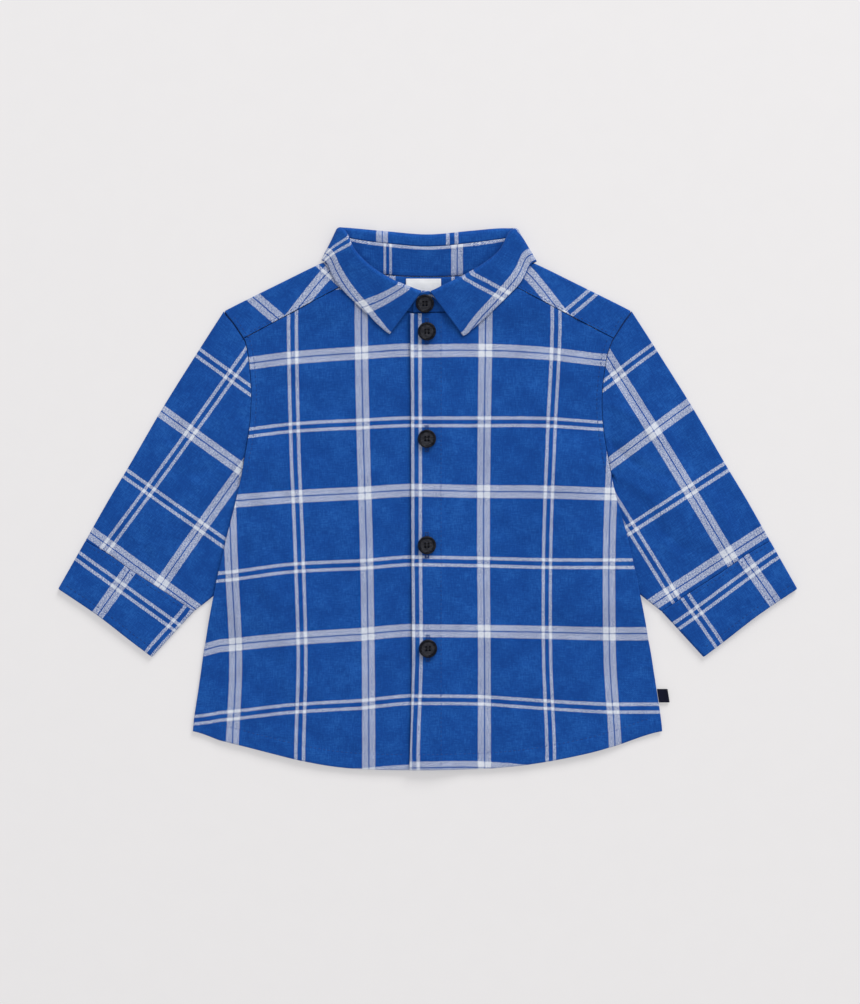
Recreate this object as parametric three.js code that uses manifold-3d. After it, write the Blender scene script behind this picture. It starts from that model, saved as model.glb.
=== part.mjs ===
// A small child's flannel shirt with long sleeves, laid flat on its back.
// X runs across the shirt, +Y runs from the hem to the collar and +Z points up.
// The origin is under the middle of the shirt, and all sizes are in millimetres.
// "Left" and "right" are as seen by somebody who looks down at the shirt's front.
import * as THREE from "three";
import { mergeVertices } from "three/addons/utils/BufferGeometryUtils.js";
import Module from "manifold-3d";

const wasm = await Module();
wasm.setup();

// Cloth and layers
const CLOTH = 1.0; // one panel with its pile
const FACING = 0.7; // the turned-under front edge adds this much
const STAND_CLOTH = 1.2; // two layers and a stiffener
const LEAF_CLOTH = 1.4;
const CUFF_CLOTH = 1.5;
const SEAM = 0.35; // between two pieces that are sewn edge to edge
const ARMHOLE_SEAM = 0.5; // measured across the shirt; it doubles towards the armpit
const EDGE_AIR = 0.35; // between front and back along the side seams and the sleeves' folds
const SHOULDER_AIR = 0.8; // inside the fold along the shoulder
const BODY_AIR = 1.2; // more air between front and back in the middle of the body
const BODY_AIR_REACH = 55;
const SLEEVE_AIR = 1.3;
const CUFF_AIR = 0.3;

// Layers that lift the body off what it lies on
const COLLAR_LIFT = 1.9; // the back of the collar leaf lies under the yoke
const SLEEVE_LIFT = 2.75; // the sleeve's lower edge is tucked under the body's side
const OVERLAP_LIFT = 1.4; // the right front lies on the left one along the buttons

// The buttoned edge
const LEFT_FRONT_EDGE = 10.7; // X of the edge that is hidden under the right front
const RIGHT_FRONT_EDGE = -11.7;
const FACING_EDGE = 8.5;

// Where the yoke's seams start on the armholes, and where the armhole ends
const FRONT_YOKE_Y = 102.7;
const BACK_YOKE_Y = 96;
const ARMPIT_Y = 12.5;

// Both sides of the body from the shoulder's tip down the armhole and the side seam
const OUTLINE = [
  { y: 120.0, left: -129.8, right: 129.8 },
  { y: 113.0, left: -124.6, right: 125.2 },
  { y: 106.6, left: -120.2, right: 121.2 },
  { y: 100.8, left: -116.6, right: 117.6 },
  { y: 91.8, left: -114.6, right: 114.4 },
  { y: 69.4, left: -112.8, right: 111.5 },
  { y: 47.0, left: -113.8, right: 111.9 },
  { y: 25.9, left: -117.0, right: 115.1 },
  { y: 3.5, left: -121.4, right: 119.8 },
  { y: -22.1, left: -127.8, right: 127.0 },
  { y: -52.2, left: -134.9, right: 133.9 },
  { y: -90.6, left: -141.9, right: 141.1 },
  { y: -116.2, left: -145.8, right: 145.4 },
  { y: -148.8, left: -150.2, right: 149.9 },
];

// The curved hem
const HEM = [
  { x: -150.2, y: -148.8 },
  { x: -133.0, y: -154.6 },
  { x: -107.4, y: -161.0 },
  { x: -81.8, y: -167.4 },
  { x: -56.2, y: -171.8 },
  { x: -30.6, y: -173.4 },
  { x: 7.8, y: -173.4 },
  { x: 39.8, y: -172.5 },
  { x: 65.4, y: -169.9 },
  { x: 91.0, y: -165.4 },
  { x: 116.6, y: -159.0 },
  { x: 149.9, y: -148.8 },
];

// The shoulder's outer edge, from its tip to the neck, as distances from the middle
const SHOULDER = [
  { x: 129.8, y: 120.0 },
  { x: 113.8, y: 128.1 },
  { x: 70.0, y: 149.4 },
  { x: 58.2, y: 152.6 },
];

// Sleeve folds as distances from the middle: the upper fold and the one tucked under the body
const SLEEVE_OUTER = [
  { x: 130.2, y: 120.0 },
  { x: 144.5, y: 97.8 },
  { x: 169.0, y: 58.8 },
  { x: 190.5, y: 21.8 },
  { x: 203.6, y: 0.0 },
  { x: 218.9, y: -27.0 },
];
const SLEEVE_INNER = [
  { x: 119.6, y: 12.5 },
  { x: 120.6, y: 4.0 },
  { x: 113.6, y: -9.0 },
  { x: 108.4, y: -24.0 },
  { x: 111.8, y: -38.5 },
  { x: 121.6, y: -49.5 },
  { x: 137.3, y: -62.7 },
  { x: 149.4, y: -72.2 },
];
const CUFF_SEAM = [
  { x: 218.9, y: -27.0 },
  { x: 205.2, y: -35.0 },
  { x: 190.0, y: -45.6 },
  { x: 169.0, y: -59.2 },
  { x: 149.4, y: -72.2 },
];
const CUFF_END = [
  { x: 236.3, y: -57.6 },
  { x: 211.2, y: -74.6 },
  { x: 190.5, y: -90.6 },
  { x: 176.2, y: -101.4 },
];

// Stations round the collar, from each front end to the middle of the back.
// turn is the way the cloth faces: 90 up, 0 sideways, -90 down.
// neck is the seam to the body, roll the top of the fold and edge the leaf's outer edge.
// reach is the fold's height above or below the collar's core, and bend is the fold's radius.
const COLLAR_LEFT = [
  { turn: 90, neckX: 5.9, neckY: 118.1, rollX: 5.6, rollY: 131.0, edgeX: -16.0, edgeY: 103.0, reach: 3.1, bend: 1.5 },
  { turn: 90, neckX: -10.1, neckY: 118.7, rollX: -3.7, rollY: 132.5, edgeX: -24.2, edgeY: 105.0, reach: 3.3, bend: 1.6 },
  { turn: 90, neckX: -21.0, neckY: 120.0, rollX: -12.6, rollY: 135.7, edgeX: -31.8, edgeY: 111.0, reach: 3.3, bend: 1.7 },
  { turn: 90, neckX: -33.8, neckY: 123.5, rollX: -24.2, rollY: 140.8, edgeX: -42.1, edgeY: 121.0, reach: 3.1, bend: 1.7 },
  { turn: 90, neckX: -45.3, neckY: 129.6, rollX: -37.0, rollY: 149.1, edgeX: -53.0, edgeY: 131.5, reach: 2.9, bend: 1.7 },
  { turn: 90, neckX: -52.3, neckY: 137.3, rollX: -46.6, rollY: 159.0, edgeX: -60.0, edgeY: 140.5, reach: 2.7, bend: 1.7 },
  { turn: 90, neckX: -57.0, neckY: 149.6, rollX: -52.4, rollY: 170.6, edgeX: -64.6, edgeY: 150.0, reach: 2.6, bend: 1.7 },
  { turn: 0, neckX: -57.6, neckY: 151.2, rollX: -53.4, rollY: 173.1, edgeX: -65.1, edgeY: 152.0, reach: 2.6, bend: 1.7 },
  { turn: -90, neckX: -56.5, neckY: 150.7, rollX: -52.3, rollY: 173.2, edgeX: -64.0, edgeY: 150.6, reach: 2.6, bend: 1.7 },
  { turn: -90, neckX: -45.0, neckY: 146.0, rollX: -43.0, rollY: 172.4, edgeX: -50.0, edgeY: 137.5, reach: 2.2, bend: 2.0 },
  { turn: -90, neckX: -26.0, neckY: 142.6, rollX: -26.0, rollY: 170.8, edgeX: -28.0, edgeY: 132.2, reach: 1.8, bend: 2.4 },
  { turn: -90, neckX: 0, neckY: 141.4, rollX: 0, rollY: 168.8, edgeX: 0, edgeY: 131.0, reach: 1.6, bend: 2.6 },
];
const COLLAR_RIGHT = [
  { turn: -90, neckX: 26.0, neckY: 142.6, rollX: 26.0, rollY: 171.0, edgeX: 28.0, edgeY: 132.2, reach: 1.8, bend: 2.4 },
  { turn: -90, neckX: 45.0, neckY: 146.0, rollX: 43.0, rollY: 172.6, edgeX: 50.0, edgeY: 137.5, reach: 2.2, bend: 2.0 },
  { turn: -90, neckX: 56.5, neckY: 150.7, rollX: 52.0, rollY: 172.8, edgeX: 65.2, edgeY: 149.0, reach: 2.6, bend: 1.7 },
  { turn: 0, neckX: 57.6, neckY: 151.2, rollX: 53.0, rollY: 172.6, edgeX: 66.8, edgeY: 151.2, reach: 2.6, bend: 1.7 },
  { turn: 90, neckX: 57.0, neckY: 149.6, rollX: 52.0, rollY: 170.0, edgeX: 65.8, edgeY: 149.4, reach: 2.6, bend: 1.7 },
  { turn: 90, neckX: 52.3, neckY: 137.3, rollX: 46.0, rollY: 159.0, edgeX: 60.6, edgeY: 139.3, reach: 2.8, bend: 1.7 },
  { turn: 90, neckX: 45.3, neckY: 129.6, rollX: 36.5, rollY: 150.8, edgeX: 52.4, edgeY: 130.4, reach: 3.1, bend: 1.7 },
  { turn: 90, neckX: 33.8, neckY: 123.5, rollX: 24.0, rollY: 143.2, edgeX: 42.0, edgeY: 120.2, reach: 3.6, bend: 1.7 },
  { turn: 90, neckX: 21.0, neckY: 120.0, rollX: 11.5, rollY: 137.0, edgeX: 30.5, edgeY: 109.8, reach: 4.4, bend: 1.7 },
  { turn: 90, neckX: 9.5, neckY: 118.7, rollX: 1.4, rollY: 132.2, edgeX: 22.6, edgeY: 103.7, reach: 4.9, bend: 1.6 },
  { turn: 90, neckX: -9.4, neckY: 118.1, rollX: -9.2, rollY: 131.0, edgeX: 12.0, edgeY: 103.0, reach: 4.8, bend: 1.5 },
];
const COLLAR = [...COLLAR_LEFT, ...COLLAR_RIGHT];
const LEFT_LEAF_END = 1; // stations at which the leaf starts and ends; the stand runs on past them
const RIGHT_LEAF_END = COLLAR.length - 2;
const LEFT_YOKE_CORNER = 5; // stations where the front yoke seams meet the neck
const LEFT_NECK_POINT = 7;
const MIDDLE_BACK = COLLAR_LEFT.length - 1;
const RIGHT_NECK_POINT = 2 * MIDDLE_BACK - LEFT_NECK_POINT;
const RIGHT_YOKE_CORNER = 2 * MIDDLE_BACK - LEFT_YOKE_CORNER;
const CORE_HEIGHT = 5.0;
const LEAF_SEAM = 0.78; // the leaf is sewn on at this share of the way from neck to fold

// Buttons with a raised rim and four holes
const BUTTON = { diameter: 11.7, thickness: 2.5, rim: 1.5, dish: 0.6, hole: 1.5, holeSpacing: 2.9 };
const FRONT_BUTTONS = [
  { name: "button_2", x: -0.5, y: 106.6 },
  { name: "button_3", x: -0.5, y: 38.1 },
  { name: "button_4", x: -0.5, y: -29.8 },
  { name: "button_5", x: 0.2, y: -95.7 },
];
const STAND_BUTTON = { name: "button_1", x: -1.8, y: 124.4, height: 8.15, tilt: 0.19 };

// Bare cloth tabs
const NECK_LABEL = { left: -13.9, right: 8.5, top: 140.4, bottom: 127.5, thickness: 0.6 };
const SIDE_TAG = { top: -121.8, bottom: -130.4, reach: 6.8, layer: 0.6, air: 0.2, lift: 0.7 };

// The largest soft ridges in the front of the body and in the sleeves
const RIDGES = [
  { x1: -96, y1: 30, x2: -62, y2: -20, width: 9, rise: 0.7 },
  { x1: -104, y1: -40, x2: -84, y2: -128, width: 11, rise: 0.8 },
  { x1: -52, y1: -60, x2: -46, y2: -150, width: 10, rise: 0.6 },
  { x1: 94, y1: 34, x2: 60, y2: -12, width: 9, rise: 0.7 },
  { x1: 102, y1: -30, x2: 92, y2: -120, width: 11, rise: 0.8 },
  { x1: 50, y1: -70, x2: 56, y2: -150, width: 10, rise: 0.6 },
  { x1: -128, y1: 76, x2: -158, y2: 30, width: 8, rise: 0.8 },
  { x1: -140, y1: 20, x2: -178, y2: -22, width: 9, rise: 0.6 },
  { x1: 130, y1: 72, x2: 156, y2: 34, width: 8, rise: 0.8 },
  { x1: 142, y1: 14, x2: 176, y2: -26, width: 9, rise: 0.6 },
];

const UP = new THREE.Vector3(0, 0, 1);

// A smooth step from 0 to 1 while value goes from start to end.
function ramp(value, start, end) {
  return THREE.MathUtils.smoothstep((value - start) / (end - start), 0, 1);
}

// A smooth curve through one column of a table, read at a place in its sorted key column.
function valueAt(rows, key, column, place) {
  const rising = rows[rows.length - 1][key] > rows[0][key];
  const beyond = (row) => (rising ? row[key] > place : row[key] < place);
  const found = rows.findIndex(beyond);
  const next = THREE.MathUtils.clamp(found < 0 ? rows.length - 1 : found, 1, rows.length - 1);
  const share = (place - rows[next - 1][key]) / (rows[next][key] - rows[next - 1][key]);
  return columnAt(rows, column, next - 1 + THREE.MathUtils.clamp(share, 0, 1));
}

// A smooth curve through one column of a table, read at a fractional row number.
function columnAt(rows, column, place) {
  const last = rows.length - 1;
  const start = THREE.MathUtils.clamp(Math.floor(place), 0, last - 1);
  const value = (row) => rows[THREE.MathUtils.clamp(row, 0, last)][column];
  const [a, b, c, d] = [value(start - 1), value(start), value(start + 1), value(start + 2)];
  const t = place - start;
  const [in1, in2] = [(c - a) / 2, (d - b) / 2];
  return b + t * (in1 + t * (3 * (c - b) - 2 * in1 - in2 + t * (2 * (b - c) + in1 + in2)));
}

// The plan point at a share of the way along a table of x and y, mirrored to the left for side -1.
function along(rows, share, side = 1) {
  const curve = new THREE.SplineCurve(rows.map((row) => new THREE.Vector2(side * row.x, row.y)));
  return curve.getPointAt(THREE.MathUtils.clamp(share, 0, 1));
}

// A plan point between four edges: from and to run along v, start and end run along u.
function patch(edges, u, v) {
  const point = new THREE.Vector2();
  point.addScaledVector(edges.from(v), 1 - u).addScaledVector(edges.to(v), u);
  point.addScaledVector(edges.start(u), 1 - v).addScaledVector(edges.end(u), v);
  point.addScaledVector(edges.start(0), -(1 - u) * (1 - v)).addScaledVector(edges.start(1), -u * (1 - v));
  return point.addScaledVector(edges.end(0), -(1 - u) * v).addScaledVector(edges.end(1), -u * v);
}

function outlinePoint(side, y) {
  return new THREE.Vector2(valueAt(OUTLINE, "y", side < 0 ? "left" : "right", y), y);
}

function hemPoint(x, inset = 0) {
  return new THREE.Vector2(x, valueAt(HEM, "x", "y", x) + inset);
}

function neckPoint(station) {
  return new THREE.Vector2(columnAt(COLLAR, "neckX", station), columnAt(COLLAR, "neckY", station));
}

// The height of the soft ridges at a plan point.
function ridgeRise(x, y) {
  let rise = 0;
  for (const ridge of RIDGES) {
    const axis = new THREE.Vector2(ridge.x2 - ridge.x1, ridge.y2 - ridge.y1);
    const offset = new THREE.Vector2(x - ridge.x1, y - ridge.y1);
    const share = offset.dot(axis) / axis.lengthSq();
    const away = offset.cross(axis) / axis.length() / ridge.width;
    const ends = ramp(share, -0.3, 0.3) * ramp(share, 1.3, 0.7);
    rise += ridge.rise * ends * Math.exp(-away * away);
  }
  return rise;
}

// The height of the back's underside: nothing, except over the collar's back and the tucked sleeves.
function backUnder(x, y) {
  const overCollar = ramp(y, 103, 129) * ramp(Math.abs(x), 92, 69);
  const overSleeve = ramp(Math.abs(x), 58, 104) * ramp(y, 54, 20) * ramp(y, -96, -64);
  return COLLAR_LIFT * overCollar + SLEEVE_LIFT * overSleeve;
}

// The air between the back and the front: thin at the sides and shoulders, more in the middle.
function bodyAir(x, y) {
  const side = x < 0 ? outlinePoint(-1, y).x : outlinePoint(1, y).x;
  const fromSide = Math.abs(side - x);
  const shoulderY = valueAt(SHOULDER, "x", "y", Math.abs(x));
  const fromShoulder = Math.max(0, shoulderY - y);
  const nearShoulder = ramp(fromShoulder, 40, 2);
  const edge = EDGE_AIR + (SHOULDER_AIR - EDGE_AIR) * nearShoulder;
  return edge + BODY_AIR * ramp(fromSide, 0, BODY_AIR_REACH) * (1 - nearShoulder);
}

function frontUnder(x, y) {
  return backUnder(x, y) + CLOTH + bodyAir(x, y) + ridgeRise(x, y);
}

// The right front rides over the left one beside the buttons.
function rightFrontUnder(x, y) {
  return frontUnder(x, y) + OVERLAP_LIFT * ramp(x, 32, 12);
}

function rightFrontCloth(x) {
  return CLOTH + FACING * ramp(x, 11.5, FACING_EDGE);
}

// A closed cloth wall over a grid. at(i, j) gives the middle of the cloth, the way its outer face
// looks and its thickness. A ring joins its last column to its first. keep leaves cells out.
function clothWall(columns, rows, at, { ring = false, keep = () => true } = {}) {
  const positions = [];
  const faces = [];
  const count = ring ? columns : columns + 1;
  for (let i = 0; i < count; i++)
    for (let j = 0; j <= rows; j++) {
      const { middle, normal, thickness } = at(i, j);
      for (const side of [0.5, -0.5]) {
        const point = middle.clone().addScaledVector(normal, side * thickness);
        positions.push(point.x, point.y, point.z);
      }
    }
  const outer = (i, j) => 2 * ((i % count) * (rows + 1) + j);
  const inner = (i, j) => outer(i, j) + 1;
  const quad = (a, b, c, d) => faces.push(a, b, c, a, c, d);
  const has = (i, j) => {
    if (j < 0 || j >= rows) return false;
    return ring ? true : i >= 0 && i < columns && keep(i, j);
  };
  for (let i = 0; i < columns; i++)
    for (let j = 0; j < rows; j++) {
      if (!has(i, j)) continue;
      quad(outer(i, j), outer(i + 1, j), outer(i + 1, j + 1), outer(i, j + 1));
      quad(inner(i, j), inner(i, j + 1), inner(i + 1, j + 1), inner(i + 1, j));
      if (!has(i, j - 1)) quad(outer(i, j), inner(i, j), inner(i + 1, j), outer(i + 1, j));
      if (!has(i, j + 1)) quad(outer(i + 1, j + 1), inner(i + 1, j + 1), inner(i, j + 1), outer(i, j + 1));
      if (!has(i + 1, j)) quad(outer(i + 1, j), inner(i + 1, j), inner(i + 1, j + 1), outer(i + 1, j + 1));
      if (!has(i - 1, j)) quad(outer(i, j + 1), inner(i, j + 1), inner(i, j), outer(i, j));
    }
  return facingOut(positions, faces);
}

// A geometry whose faces point out, whichever way its grid was walked.
function facingOut(positions, faces) {
  const geometry = new THREE.BufferGeometry();
  geometry.setAttribute("position", new THREE.Float32BufferAttribute(positions, 3));
  const corner = (k) => new THREE.Vector3(...positions.slice(3 * k, 3 * k + 3));
  let volume = 0;
  for (let f = 0; f < faces.length; f += 3)
    volume += corner(faces[f]).dot(corner(faces[f + 1]).cross(corner(faces[f + 2])));
  geometry.setIndex(volume < 0 ? faces.reverse() : faces);
  geometry.computeVertexNormals();
  return geometry;
}

// A panel that lies flat: its plan comes from a patch, its underside from a height field.
function panel(edges, columns, rows, under, cloth = () => CLOTH) {
  return clothWall(columns, rows, (i, j) => {
    const plan = patch(edges, i / columns, j / rows);
    const thickness = cloth(plan.x);
    const height = under(plan.x, plan.y) + thickness / 2;
    return { middle: new THREE.Vector3(plan.x, plan.y, height), normal: UP, thickness };
  });
}

// The back reaches from the hem to the yoke's back seam.
function backPanel() {
  const hemInset = 0.6; // the front hides the back's hem
  const bottom = OUTLINE[OUTLINE.length - 1].y + hemInset;
  const seam = BACK_YOKE_Y - SEAM;
  const side = (sign) => (v) => outlinePoint(sign, bottom + v * (seam - bottom));
  const edges = {
    from: side(-1),
    to: side(1),
    start: (u) => hemPoint(side(-1)(0).x + u * (side(1)(0).x - side(-1)(0).x), hemInset),
    end: (u) => new THREE.Vector2(side(-1)(1).x + u * (side(1)(1).x - side(-1)(1).x), seam),
  };
  return panel(edges, 24, 28, backUnder);
}

// One front: its top runs along the yoke seam and then round the neck to the buttoned edge.
function frontPanel(side, centreX, under, cloth) {
  const bottom = OUTLINE[OUTLINE.length - 1].y;
  const corner = side < 0 ? LEFT_YOKE_CORNER : RIGHT_YOKE_CORNER;
  const centre = side < 0 ? 0 : COLLAR.length - 1;
  const seamStart = outlinePoint(side, FRONT_YOKE_Y - SEAM);
  const seamEnd = neckPoint(corner).sub(new THREE.Vector2(0, SEAM));
  const hemX = outlinePoint(side, bottom).x;
  const edges = {
    from: (v) => outlinePoint(side, bottom + v * (FRONT_YOKE_Y - SEAM - bottom)),
    to: (v) => {
      const hemY = hemPoint(centreX).y;
      return new THREE.Vector2(centreX, hemY + v * (topCentre.y - hemY));
    },
    start: (u) => hemPoint(hemX + u * (centreX - hemX)),
    end: (u) => {
      if (u < 0.5) return seamStart.clone().lerp(seamEnd, 2 * u);
      const station = corner + (2 * u - 1) * (centre - corner);
      const point = neckPoint(station);
      point.y -= SEAM * (2 - 2 * u);
      return u === 1 ? topCentre.clone() : point;
    },
  };
  const topCentre = new THREE.Vector2(centreX, neckPoint(centre).y);
  return panel(edges, 15, 29, under, cloth);
}

// The yoke: one piece from the back seam over both shoulders, with a flap down each front.
// Its columns run across, and its rows go up the back, round the shoulder fold and down the front.
function yoke() {
  const [shoulderColumns, neckColumns] = [8, 12];
  const columns = 2 * shoulderColumns + neckColumns;
  const [backRows, foldRows, flapRows] = [6, 5, 4];
  const foldRadius = (CLOTH + SHOULDER_AIR) / 2;
  const tip = SHOULDER[0];
  const neck = SHOULDER[SHOULDER.length - 1];
  const slope = new THREE.Vector2(tip.y - neck.y, neck.x - tip.x).normalize().negate();
  const sideOf = (i) => (i < columns / 2 ? -1 : 1);
  const outward = (side) => new THREE.Vector2(side * Math.abs(slope.x), Math.abs(slope.y));
  // Share along the shoulder from its tip, for a column outside the neck.
  const shoulderShare = (i) => Math.min(i, columns - i) / shoulderColumns;
  const foldPoint = (side, share) => {
    const point = along(SHOULDER, share, side);
    return point.addScaledVector(outward(side), -(foldRadius + CLOTH / 2));
  };
  const top = (u) => {
    const i = u * columns;
    const share = shoulderShare(i);
    if (share <= 1) return foldPoint(sideOf(i), share);
    const across = (i - shoulderColumns) / neckColumns;
    return neckPoint(LEFT_NECK_POINT + across * (RIGHT_NECK_POINT - LEFT_NECK_POINT));
  };
  const seam = [outlinePoint(-1, BACK_YOKE_Y), outlinePoint(1, BACK_YOKE_Y)];
  const armhole = (side) => (v) => {
    const shoulder = foldPoint(side, 0);
    const y = BACK_YOKE_Y + v * (shoulder.y - BACK_YOKE_Y);
    return v === 1 ? shoulder : outlinePoint(side, y);
  };
  const back = {
    from: armhole(-1),
    to: armhole(1),
    start: (u) => seam[0].clone().lerp(seam[1], u),
    end: top,
  };
  const flap = (side) => {
    const corner = neckPoint(side < 0 ? LEFT_YOKE_CORNER : RIGHT_YOKE_CORNER);
    const start = outlinePoint(side, FRONT_YOKE_Y);
    const neckEnd = foldPoint(side, 1);
    return {
      from: (v) => (v === 1 ? foldPoint(side, 0) : outlinePoint(side, start.y + v * (foldPoint(side, 0).y - start.y))),
      to: (v) => corner.clone().lerp(neckEnd, v),
      start: (u) => start.clone().lerp(corner, u),
      end: (u) => foldPoint(side, u),
    };
  };
  const flaps = { "-1": flap(-1), 1: flap(1) };
  const lastRow = backRows + foldRows + flapRows;
  return clothWall(
    columns,
    lastRow,
    (i, j) => {
      const side = sideOf(i);
      const turn = Math.PI * (THREE.MathUtils.clamp((j - backRows) / foldRows, 0, 1) - 0.5);
      const flapShare = Math.min(shoulderShare(i), 1);
      const plan =
        j <= backRows + foldRows
          ? patch(back, i / columns, Math.min(j / backRows, 1))
          : patch(flaps[side], flapShare, (lastRow - j) / flapRows);
      const air = j > backRows + foldRows ? bodyAir(plan.x, plan.y) : SHOULDER_AIR;
      const half = (CLOTH + air) / 2;
      const away = outward(side).multiplyScalar(Math.cos(turn));
      const normal = new THREE.Vector3(away.x, away.y, Math.sin(turn));
      const core = backUnder(plan.x, plan.y) + CLOTH / 2 + half;
      const middle = new THREE.Vector3(plan.x, plan.y, core).addScaledVector(normal, half);
      return { middle, normal, thickness: CLOTH };
    },
    { keep: (i, j) => j < backRows || i < shoulderColumns || i >= columns - shoulderColumns },
  );
}

// A flattened tube: across its front, round one fold, back across and round the other fold.
// edges is its plan: u runs across from fold to fold, and v runs along the tube.
function flatTube(edges, acrossColumns, rows, cloth, airAt) {
  const foldColumns = 4;
  const columns = 2 * (acrossColumns + foldColumns);
  const foldRadius = (cloth + EDGE_AIR) / 2;
  const inset = foldRadius + cloth / 2;
  return clothWall(
    columns,
    rows,
    (i, j) => {
      const half = acrossColumns + foldColumns;
      const onFront = i < half;
      const step = i % half;
      const share = Math.min(step / acrossColumns, 1);
      const u = onFront ? share : 1 - share;
      const v = j / rows;
      const bend = Math.max(0, step - acrossColumns) / foldColumns;
      const turn = Math.PI * ((onFront ? 0.5 : -0.5) - bend);
      const across = edges.to(v).clone().sub(edges.from(v)).normalize();
      const plan = patch(edges, u, v).addScaledVector(across, inset * (1 - 2 * u));
      const radius = onFront && bend === 0 ? (cloth + airAt(u, v, plan)) / 2 : foldRadius;
      const away = Math.cos(turn);
      const normal = new THREE.Vector3(across.x * away, across.y * away, Math.sin(turn));
      const middle = new THREE.Vector3(plan.x, plan.y, cloth / 2 + radius).addScaledVector(normal, radius);
      return { middle, normal, thickness: cloth };
    },
    { ring: true },
  );
}

function sleeve(side) {
  const shoulderTip = OUTLINE[0].y;
  const away = new THREE.Vector2(side * ARMHOLE_SEAM, 0);
  const edges = {
    from: (v) => along(SLEEVE_OUTER, v, side).addScaledVector(away, 1 - v),
    to: (v) => (v === 0 ? edges.start(1) : along(SLEEVE_INNER, v, side)),
    start: (u) => {
      const armhole = outlinePoint(side, shoulderTip + u * (ARMPIT_Y - shoulderTip));
      return armhole.addScaledVector(away, 1 + u * u);
    },
    end: (u) => along(CUFF_SEAM, u, side),
  };
  // The part that the body covers stays pressed flat, and so do both ends.
  const air = (u, v, plan) => {
    const across = Math.sin(Math.PI * Math.min(u / 0.72, 1)) ** 2;
    const length = ramp(v, 0, 0.3) * ramp(v, 1, 0.8);
    return EDGE_AIR + SLEEVE_AIR * across * length + ridgeRise(plan.x, plan.y) * length * across;
  };
  return flatTube(edges, 9, 17, CLOTH, air);
}

function cuff(side) {
  const edges = {
    from: (v) => edges.start(0).lerp(edges.end(0), v),
    to: (v) => edges.start(1).lerp(edges.end(1), v),
    start: (u) => along(CUFF_SEAM, u, side).add(new THREE.Vector2(side * SEAM, -1.4 * SEAM)),
    end: (u) => along(CUFF_END, u, side),
  };
  const air = (u) => EDGE_AIR + CUFF_AIR * Math.sin(Math.PI * u);
  return flatTube(edges, 9, 4, CUFF_CLOTH, air);
}

// The way up the collar at a station, and the way from its inside to its outside.
function collarFrame(station) {
  const turn = THREE.MathUtils.degToRad(columnAt(COLLAR, "turn", station));
  const side = station < MIDDLE_BACK ? -1 : 1;
  const neck = neckPoint(station);
  const roll = new THREE.Vector2(columnAt(COLLAR, "rollX", station), columnAt(COLLAR, "rollY", station));
  const up = roll.clone().sub(neck).normalize();
  const out = new THREE.Vector3(side * Math.cos(turn), 0, Math.sin(turn));
  return { turn, side, neck, roll, up, out };
}

// The height of the middle of a layer that is part of the front, the side or the back of a ring.
function ringPoint(plan, frontHeight, backHeight, frame) {
  const core = (frontHeight + backHeight) / 2;
  const radius = (frontHeight - backHeight) / 2;
  return new THREE.Vector3(plan.x, plan.y, core).addScaledVector(frame.out, radius);
}

// The stand's lower edge, just off the body's neck seam.
function standFoot(station) {
  const frame = collarFrame(station);
  const nearShoulder = ramp(Math.abs(frame.neck.x), 44, 54);
  const clear = 0.5 + 0.5 * nearShoulder + 1.3 * Math.cos(frame.turn);
  const plan = frame.neck.clone().addScaledVector(frame.up, clear);
  const under = station > MIDDLE_BACK ? rightFrontUnder : frontUnder;
  const front = under(frame.neck.x, frame.neck.y) + STAND_CLOTH / 2;
  const back = backUnder(frame.neck.x, frame.neck.y) + STAND_CLOTH / 2;
  return ringPoint(plan, front, back, frame);
}

// The centre of the fold at the top of the collar.
function foldCentre(station) {
  const frame = collarFrame(station);
  const bend = columnAt(COLLAR, "bend", station);
  const plan = frame.roll.clone().addScaledVector(frame.up, -(bend + LEAF_CLOTH / 2));
  const centre = new THREE.Vector3(plan.x, plan.y, CORE_HEIGHT);
  return centre.addScaledVector(frame.out, columnAt(COLLAR, "reach", station));
}

function foldPointAt(station, angle) {
  const frame = collarFrame(station);
  const bend = columnAt(COLLAR, "bend", station);
  const point = foldCentre(station).addScaledVector(frame.out, bend * Math.sin(angle));
  return point.add(new THREE.Vector3(frame.up.x, frame.up.y, 0).multiplyScalar(bend * Math.cos(angle)));
}

// The leaf's outer edge: on the front panels or the yoke in front, and lowest of all behind.
function leafEdge(station) {
  const frame = collarFrame(station);
  const x = columnAt(COLLAR, "edgeX", station);
  const y = columnAt(COLLAR, "edgeY", station);
  const under = station > MIDDLE_BACK ? rightFrontUnder : frontUnder;
  const cloth = station > MIDDLE_BACK ? rightFrontCloth(x) : CLOTH;
  const front = under(x, y) + cloth + SEAM + LEAF_CLOTH / 2;
  return ringPoint(new THREE.Vector2(x, y), front, LEAF_CLOTH / 2, frame);
}

// A wall over a surface given by its own function: normals are measured on the surface itself.
function surfaceWall(columns, rows, pointAt, thickness) {
  const step = 0.02;
  return clothWall(columns, rows, (i, j) => {
    const [i0, i1] = [Math.max(0, i - step), Math.min(columns, i + step)];
    const [j0, j1] = [Math.max(0, j - step), Math.min(rows, j + step)];
    const alongColumns = pointAt(i1, j).sub(pointAt(i0, j));
    const alongRows = pointAt(i, j1).sub(pointAt(i, j0));
    const normal = alongRows.cross(alongColumns).normalize();
    return { middle: pointAt(i, j), normal, thickness };
  });
}

function collarStand() {
  const last = COLLAR.length - 1;
  const columns = 2 * last;
  const rows = 3;
  const topOf = (station) => {
    const nearEnd = Math.min(station, last - station);
    return LEAF_SEAM * (1 - 0.1 * ramp(nearEnd, 0.8, 0));
  };
  return surfaceWall(
    columns,
    rows,
    (i, j) => {
      const station = (i / columns) * last;
      const foot = standFoot(station);
      return foot.lerp(foldPointAt(station, -Math.PI / 2), (topOf(station) * j) / rows);
    },
    STAND_CLOTH,
  );
}

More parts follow.
